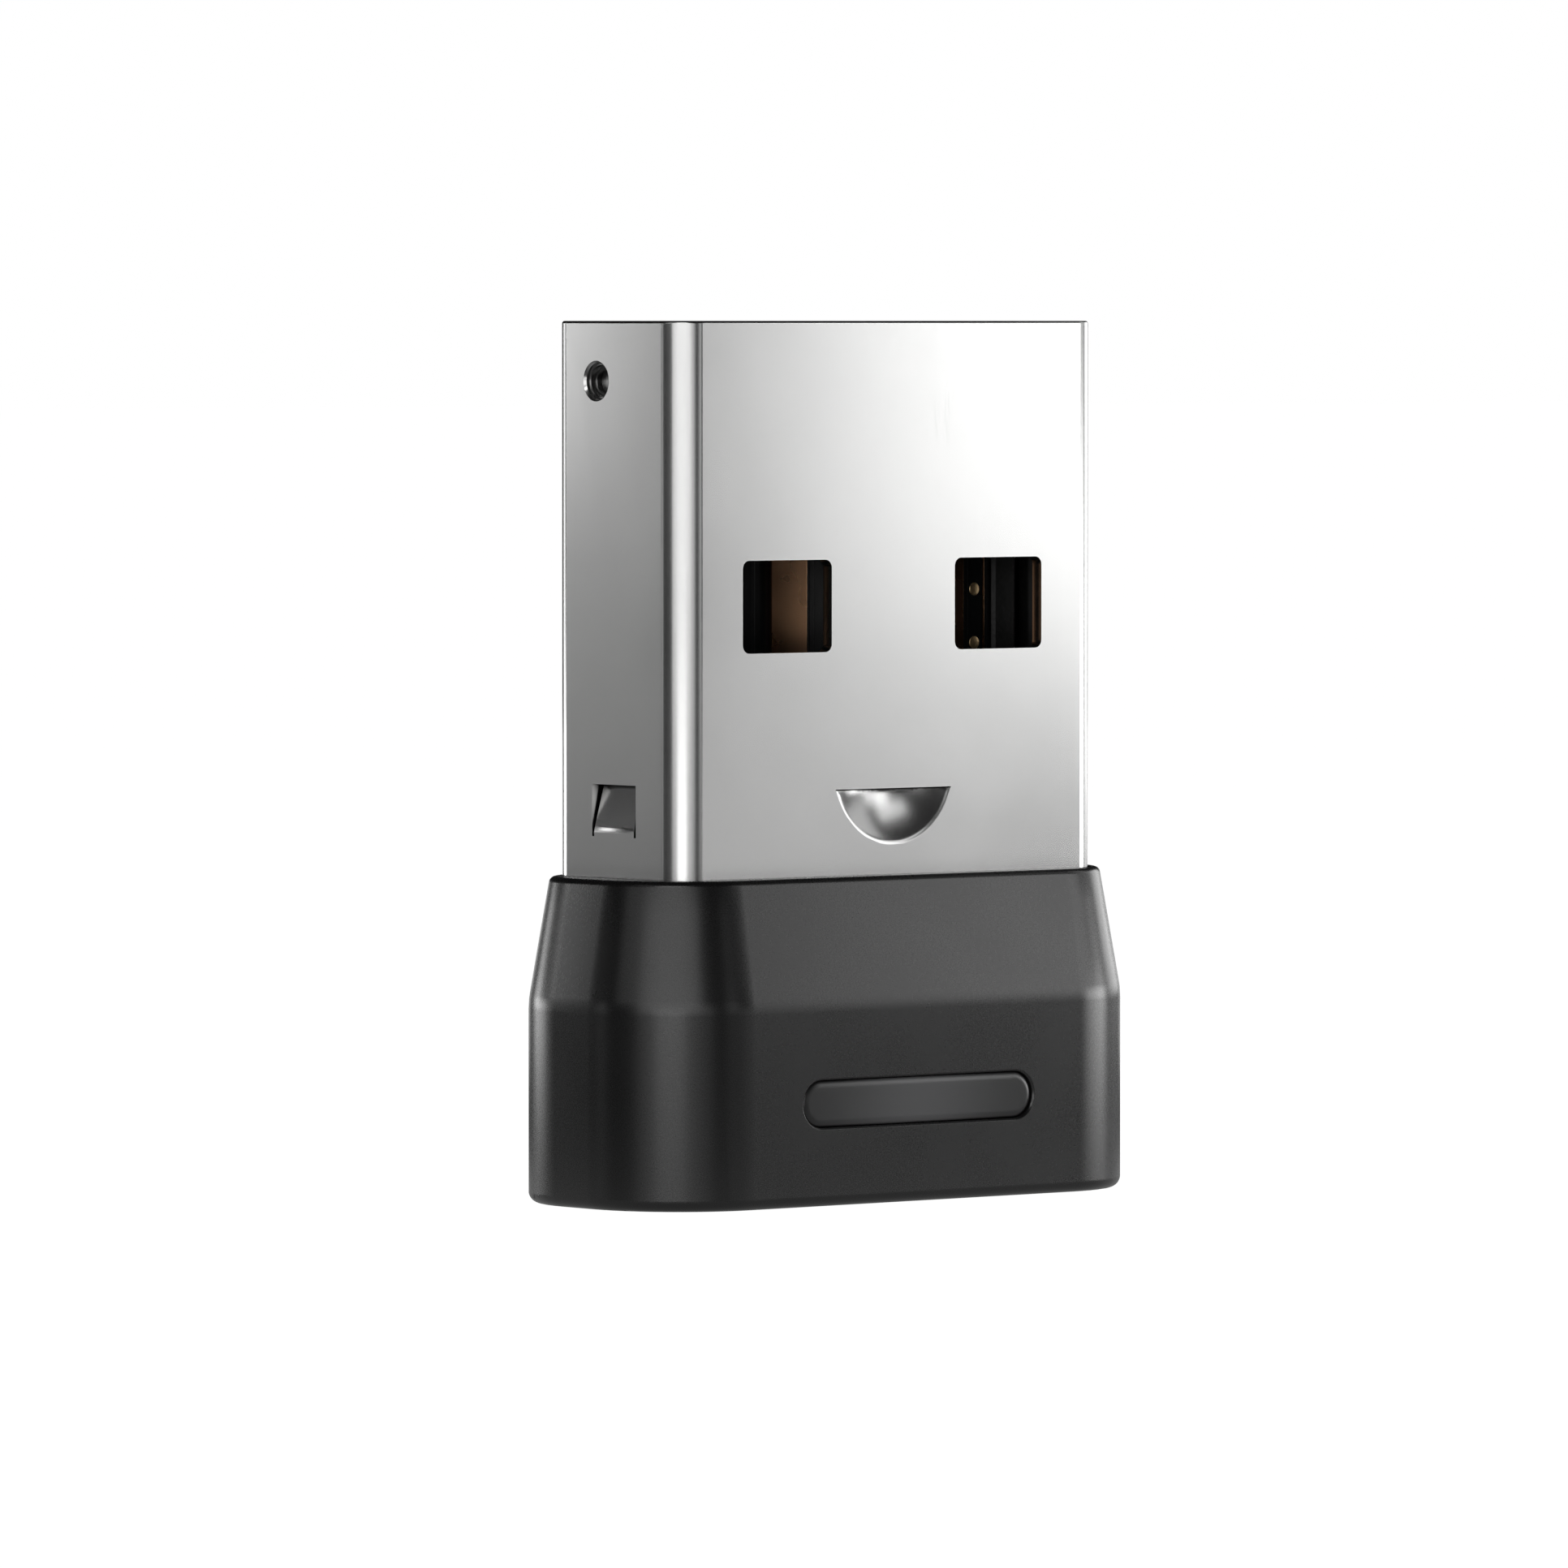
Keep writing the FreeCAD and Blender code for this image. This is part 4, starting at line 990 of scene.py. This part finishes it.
class ADAPTER_OT_plated_holes(bpy.types.Operator):
    """Makes the row of plated holes beside the board's plated line"""

    bl_idname = "adapter.plated_holes"
    bl_label = "Plated Holes"

    def execute(self, context):
        sizes = context.scene.adapter_board
        gold = bpy.data.materials["gold_plate"]
        middle = (LINE_LOW.x + LINE_HIGH.x) / 2
        start = Vector((middle - sizes.hole_inset, BOARD_LOW.y, SHELL_HIGH.z - sizes.first_drop))
        piece = nodes_to_mesh("plated_holes", tree_plated_holes(gold), {
            "Radius": sizes.hole_radius, "Rise": sizes.hole_rise, "Pitch": sizes.hole_pitch,
            "Count": sizes.hole_count, "Start": start})
        finish_piece(piece, gold, "gold_plate")
        return {"FINISHED"}


class ADAPTER_OT_shared_effects(bpy.types.Operator):
    """Builds the node groups that several finishes use"""

    bl_idname = "adapter.shared_effects"
    bl_label = "Shared Effects"

    def execute(self, context):
        for build in (group_grain, group_edge_wear_and_glint, group_recess_shade, group_enclosed_shade, group_specks,
                      group_scratches, tree_smooth_shading):
            build()
        return {"FINISHED"}


class ADAPTER_OT_metal_parts(bpy.types.Operator):
    """Finishes the contacts, the antenna and the solder"""

    bl_idname = "adapter.metal_parts"
    bl_label = "Metal Parts"

    def execute(self, context):
        metal = context.scene.adapter_metal
        gold = plated_metal("gold_plate", metal.gold, metal.gold_roughness, 1.15)
        solder = plated_metal("solder", metal.solder, 0.35, 1.1)
        lid = plated_metal("crystal_can", metal.solder, 0.3, 1.1)
        for name in ("contact_power", "contact_data_minus", "contact_data_plus",
                     "contact_ground", "guard_line", "printed_antenna"):
            dress(name, gold, metal.edge_round / 3)
        dress("shell_solder_joints", solder, 0.0)
        dress("crystal", lid, metal.edge_round)
        return {"FINISHED"}


class ADAPTER_OT_plastic_parts(bpy.types.Operator):
    """Finishes the boot, the tray, the clamp, the board and the small parts on it"""

    bl_idname = "adapter.plastic_parts"
    bl_label = "Plastic Parts"

    def execute(self, context):
        plastic = context.scene.adapter_plastic
        finishes = {
            "housing": boot_plastic(plastic),
            "circuit_board": board_mask(plastic),
            "indicator_led": led_resin(),
        }
        insert = moulded_part("insert_plastic", plastic.insert, 0.42, 12.0)
        chip = moulded_part("chip_plastic", (0.02, 0.02, 0.021), 0.55, 20.0)
        dark = moulded_part("dark_ceramic", (0.05, 0.05, 0.052), 0.4, 15.0)
        pale = moulded_part("pale_ceramic", (0.42, 0.3, 0.2), 0.45, 15.0)
        for material, names in (
                (insert, ("board_tray", "board_clamp")),
                (chip, ("radio_chip", "memory_chip", "voltage_regulator", "surge_diode")),
                (dark, ("ferrite_bead", "resistors")),
                (pale, ("band_filter", "capacitors"))):
            finishes.update(dict.fromkeys(names, material))
        for name, material in finishes.items():
            dress(name, material, plastic.edge_round)
        return {"FINISHED"}


class ADAPTER_OT_stage(bpy.types.Operator):
    """Sets the camera, the floor and the lights"""

    bl_idname = "adapter.stage"
    bl_label = "Stage"

    def execute(self, context):
        stage = context.scene.adapter_stage
        place_camera(context.scene, stage)
        place_floor(stage)
        place_lights()
        white_world(context.scene)
        context.scene.view_settings.view_transform = "Standard"
        return {"FINISHED"}


def place_camera(scene, stage):
    """Camera at the photograph's viewing angle, level with the plug's mouth."""
    right = Vector((math.cos(stage.heading), -math.sin(stage.heading), 0))
    ahead = Vector((math.sin(stage.heading), math.cos(stage.heading), 0))
    data = bpy.data.cameras.new("camera")
    data.lens = stage.focal_length
    data.sensor_width = 36.0
    camera = new_object("camera", data)
    camera.location = -stage.distance * ahead - stage.side_step * right
    camera.location.z = cad_high.z
    look = math.cos(stage.pitch) * ahead - math.sin(stage.pitch) * Vector((0, 0, 1))
    camera.rotation_euler = look.to_track_quat("-Z", "Y").to_euler()
    scene.camera = camera


def place_floor(stage):
    """Pale floor that the boot stands on."""
    mesh = bpy.data.meshes.new("floor")
    half = stage.floor_size / 2
    corners = [(-half, -half, 0), (half, -half, 0), (half, half, 0), (-half, half, 0)]
    mesh.from_pydata(corners, [], [(0, 1, 2, 3)])
    floor = new_object("floor", mesh)
    clearance = 0.01 * MM
    floor.location.z = cad_low.z - clearance
    mesh.materials.append(floor_paper())


def place_lights():
    """Soft panels round the part, each set by its brightness and hidden from the camera."""
    middle = (cad_low + cad_high) / 2
    for name, turn, rise, reach, wide, tall, brightness in LIGHTS:
        data = bpy.data.lights.new(name, "AREA")
        data.shape = "RECTANGLE"
        data.size = wide
        data.size_y = tall
        data.energy = math.pi * wide * tall * brightness
        light = new_object(name, data)
        turn, rise = math.radians(turn), math.radians(rise)
        towards = Vector((math.cos(turn) * math.cos(rise), math.sin(turn) * math.cos(rise),
                          math.sin(rise)))
        light.location = middle + towards * reach
        light.rotation_euler = towards.to_track_quat("Z", "Y").to_euler()
        light.visible_camera = False


# Each light's name, turn and rise in degrees, reach, width and height in metres, and brightness
LIGHTS = (
    ("key", 313.6, 8.0, 0.09, 0.018, 0.026, 3.6),
    ("key_top", 308.0, 21.0, 0.09, 0.04, 0.014, 1.7),
    ("key_side", 325.0, 5.0, 0.09, 0.014, 0.03, 2.4),
    ("key_edge", 341.0, -2.0, 0.09, 0.026, 0.02, 3.4),
    ("key_fill", 345.0, 25.0, 0.09, 0.04, 0.046, 0.95),
    ("low_middle", 300.0, -5.0, 0.07, 0.03, 0.01, 0.9),
    ("low_right", 334.0, -4.0, 0.07, 0.034, 0.012, 6.0),
    ("right_rim", 12.0, 6.0, 0.2, 0.1, 0.08, 2.8),
    ("front_strip", 226.0, 7.0, 0.2, 0.18, 0.09, 2.15),
    ("front_strip_edge", 196.0, 7.0, 0.2, 0.04, 0.09, 1.8),
    ("front_low", 220.0, -5.5, 0.07, 0.034, 0.008, 3.3),
    ("front_top", 220.0, 32.0, 0.2, 0.12, 0.04, 4.4),
    ("front_fill", 256.0, 0.0, 0.2, 0.04, 0.04, 1.4),
    ("middle_fill", 282.0, 4.0, 0.2, 0.04, 0.06, 1.0),
    ("left_fill", 178.0, 14.0, 0.2, 0.08, 0.04, 0.9),
    ("left_low", 150.0, 0.0, 0.2, 0.04, 0.04, 1.15),
    ("left_key", 126.0, 7.5, 0.09, 0.014, 0.012, 4.1),
    ("left_key_low", 129.0, 0.0, 0.09, 0.026, 0.014, 0.4),
    ("back_left", 95.0, 0.0, 0.2, 0.042, 0.042, 2.7),
    ("back_left_low", 108.0, -5.0, 0.07, 0.028, 0.009, 5.2),
    ("behind_low", 52.0, -9.0, 0.05, 0.05, 0.014, 1.0),
    ("behind_side", 180.0, 40.0, 0.2, 0.06, 0.06, 0.5),
)


def white_world(scene):
    """Surroundings that look white to the camera and light the part faintly."""
    world = bpy.data.worlds.new("surroundings")
    world.use_nodes = True
    tree = world.node_tree
    shown = add_node(tree, "ShaderNodeBackground", {"Color": (1, 1, 1, 1), "Strength": 1.0})
    felt = add_node(tree, "ShaderNodeBackground", {"Color": (1, 1, 1, 1), "Strength": 0.02})
    ray = add_node(tree, "ShaderNodeLightPath").outputs["Is Camera Ray"]
    mixed = add_node(tree, "ShaderNodeMixShader", {0: ray, 1: felt.outputs[0], 2: shown.outputs[0]})
    tree.links.new(mixed.outputs[0], tree.nodes["World Output"].inputs["Surface"])
    scene.world = world


class ADAPTER_PT_panel(bpy.types.Panel):
    """Lists the adapter's steps and settings"""

    bl_idname = "ADAPTER_PT_panel"
    bl_label = "Wireless Adapter"
    bl_space_type = "VIEW_3D"
    bl_region_type = "UI"
    bl_category = "Adapter"

    def draw(self, context):
        for step in STEPS:
            self.layout.operator(step.bl_idname)
        for name, kind in SETTINGS.items():
            box = self.layout.box()
            for field in kind.__annotations__:
                box.prop(getattr(context.scene, name), field)


STEPS = (
    ADAPTER_OT_shared_effects,
    ADAPTER_OT_metal_parts,
    ADAPTER_OT_plastic_parts,
    ADAPTER_OT_plug_shell,
    ADAPTER_OT_light_guide,
    ADAPTER_OT_plated_holes,
    ADAPTER_OT_stage,
)
SETTINGS = {
    "adapter_metal": AdapterMetal,
    "adapter_plastic": AdapterPlastic,
    "adapter_shell": AdapterShell,
    "adapter_light_guide": AdapterLightGuide,
    "adapter_board": AdapterBoard,
    "adapter_stage": AdapterStage,
}


def register():
    for kind in (*SETTINGS.values(), *STEPS, ADAPTER_PT_panel):
        bpy.utils.register_class(kind)
    for name, kind in SETTINGS.items():
        setattr(bpy.types.Scene, name, PointerProperty(type=kind))


def unregister():
    for name in SETTINGS:
        delattr(bpy.types.Scene, name)
    for kind in (ADAPTER_PT_panel, *STEPS, *SETTINGS.values()):
        bpy.utils.unregister_class(kind)


def main():
    register()
    for step in STEPS:
        group, name = step.bl_idname.split(".")
        getattr(getattr(bpy.ops, group), name)()


if __name__ == "__main__":
    main()
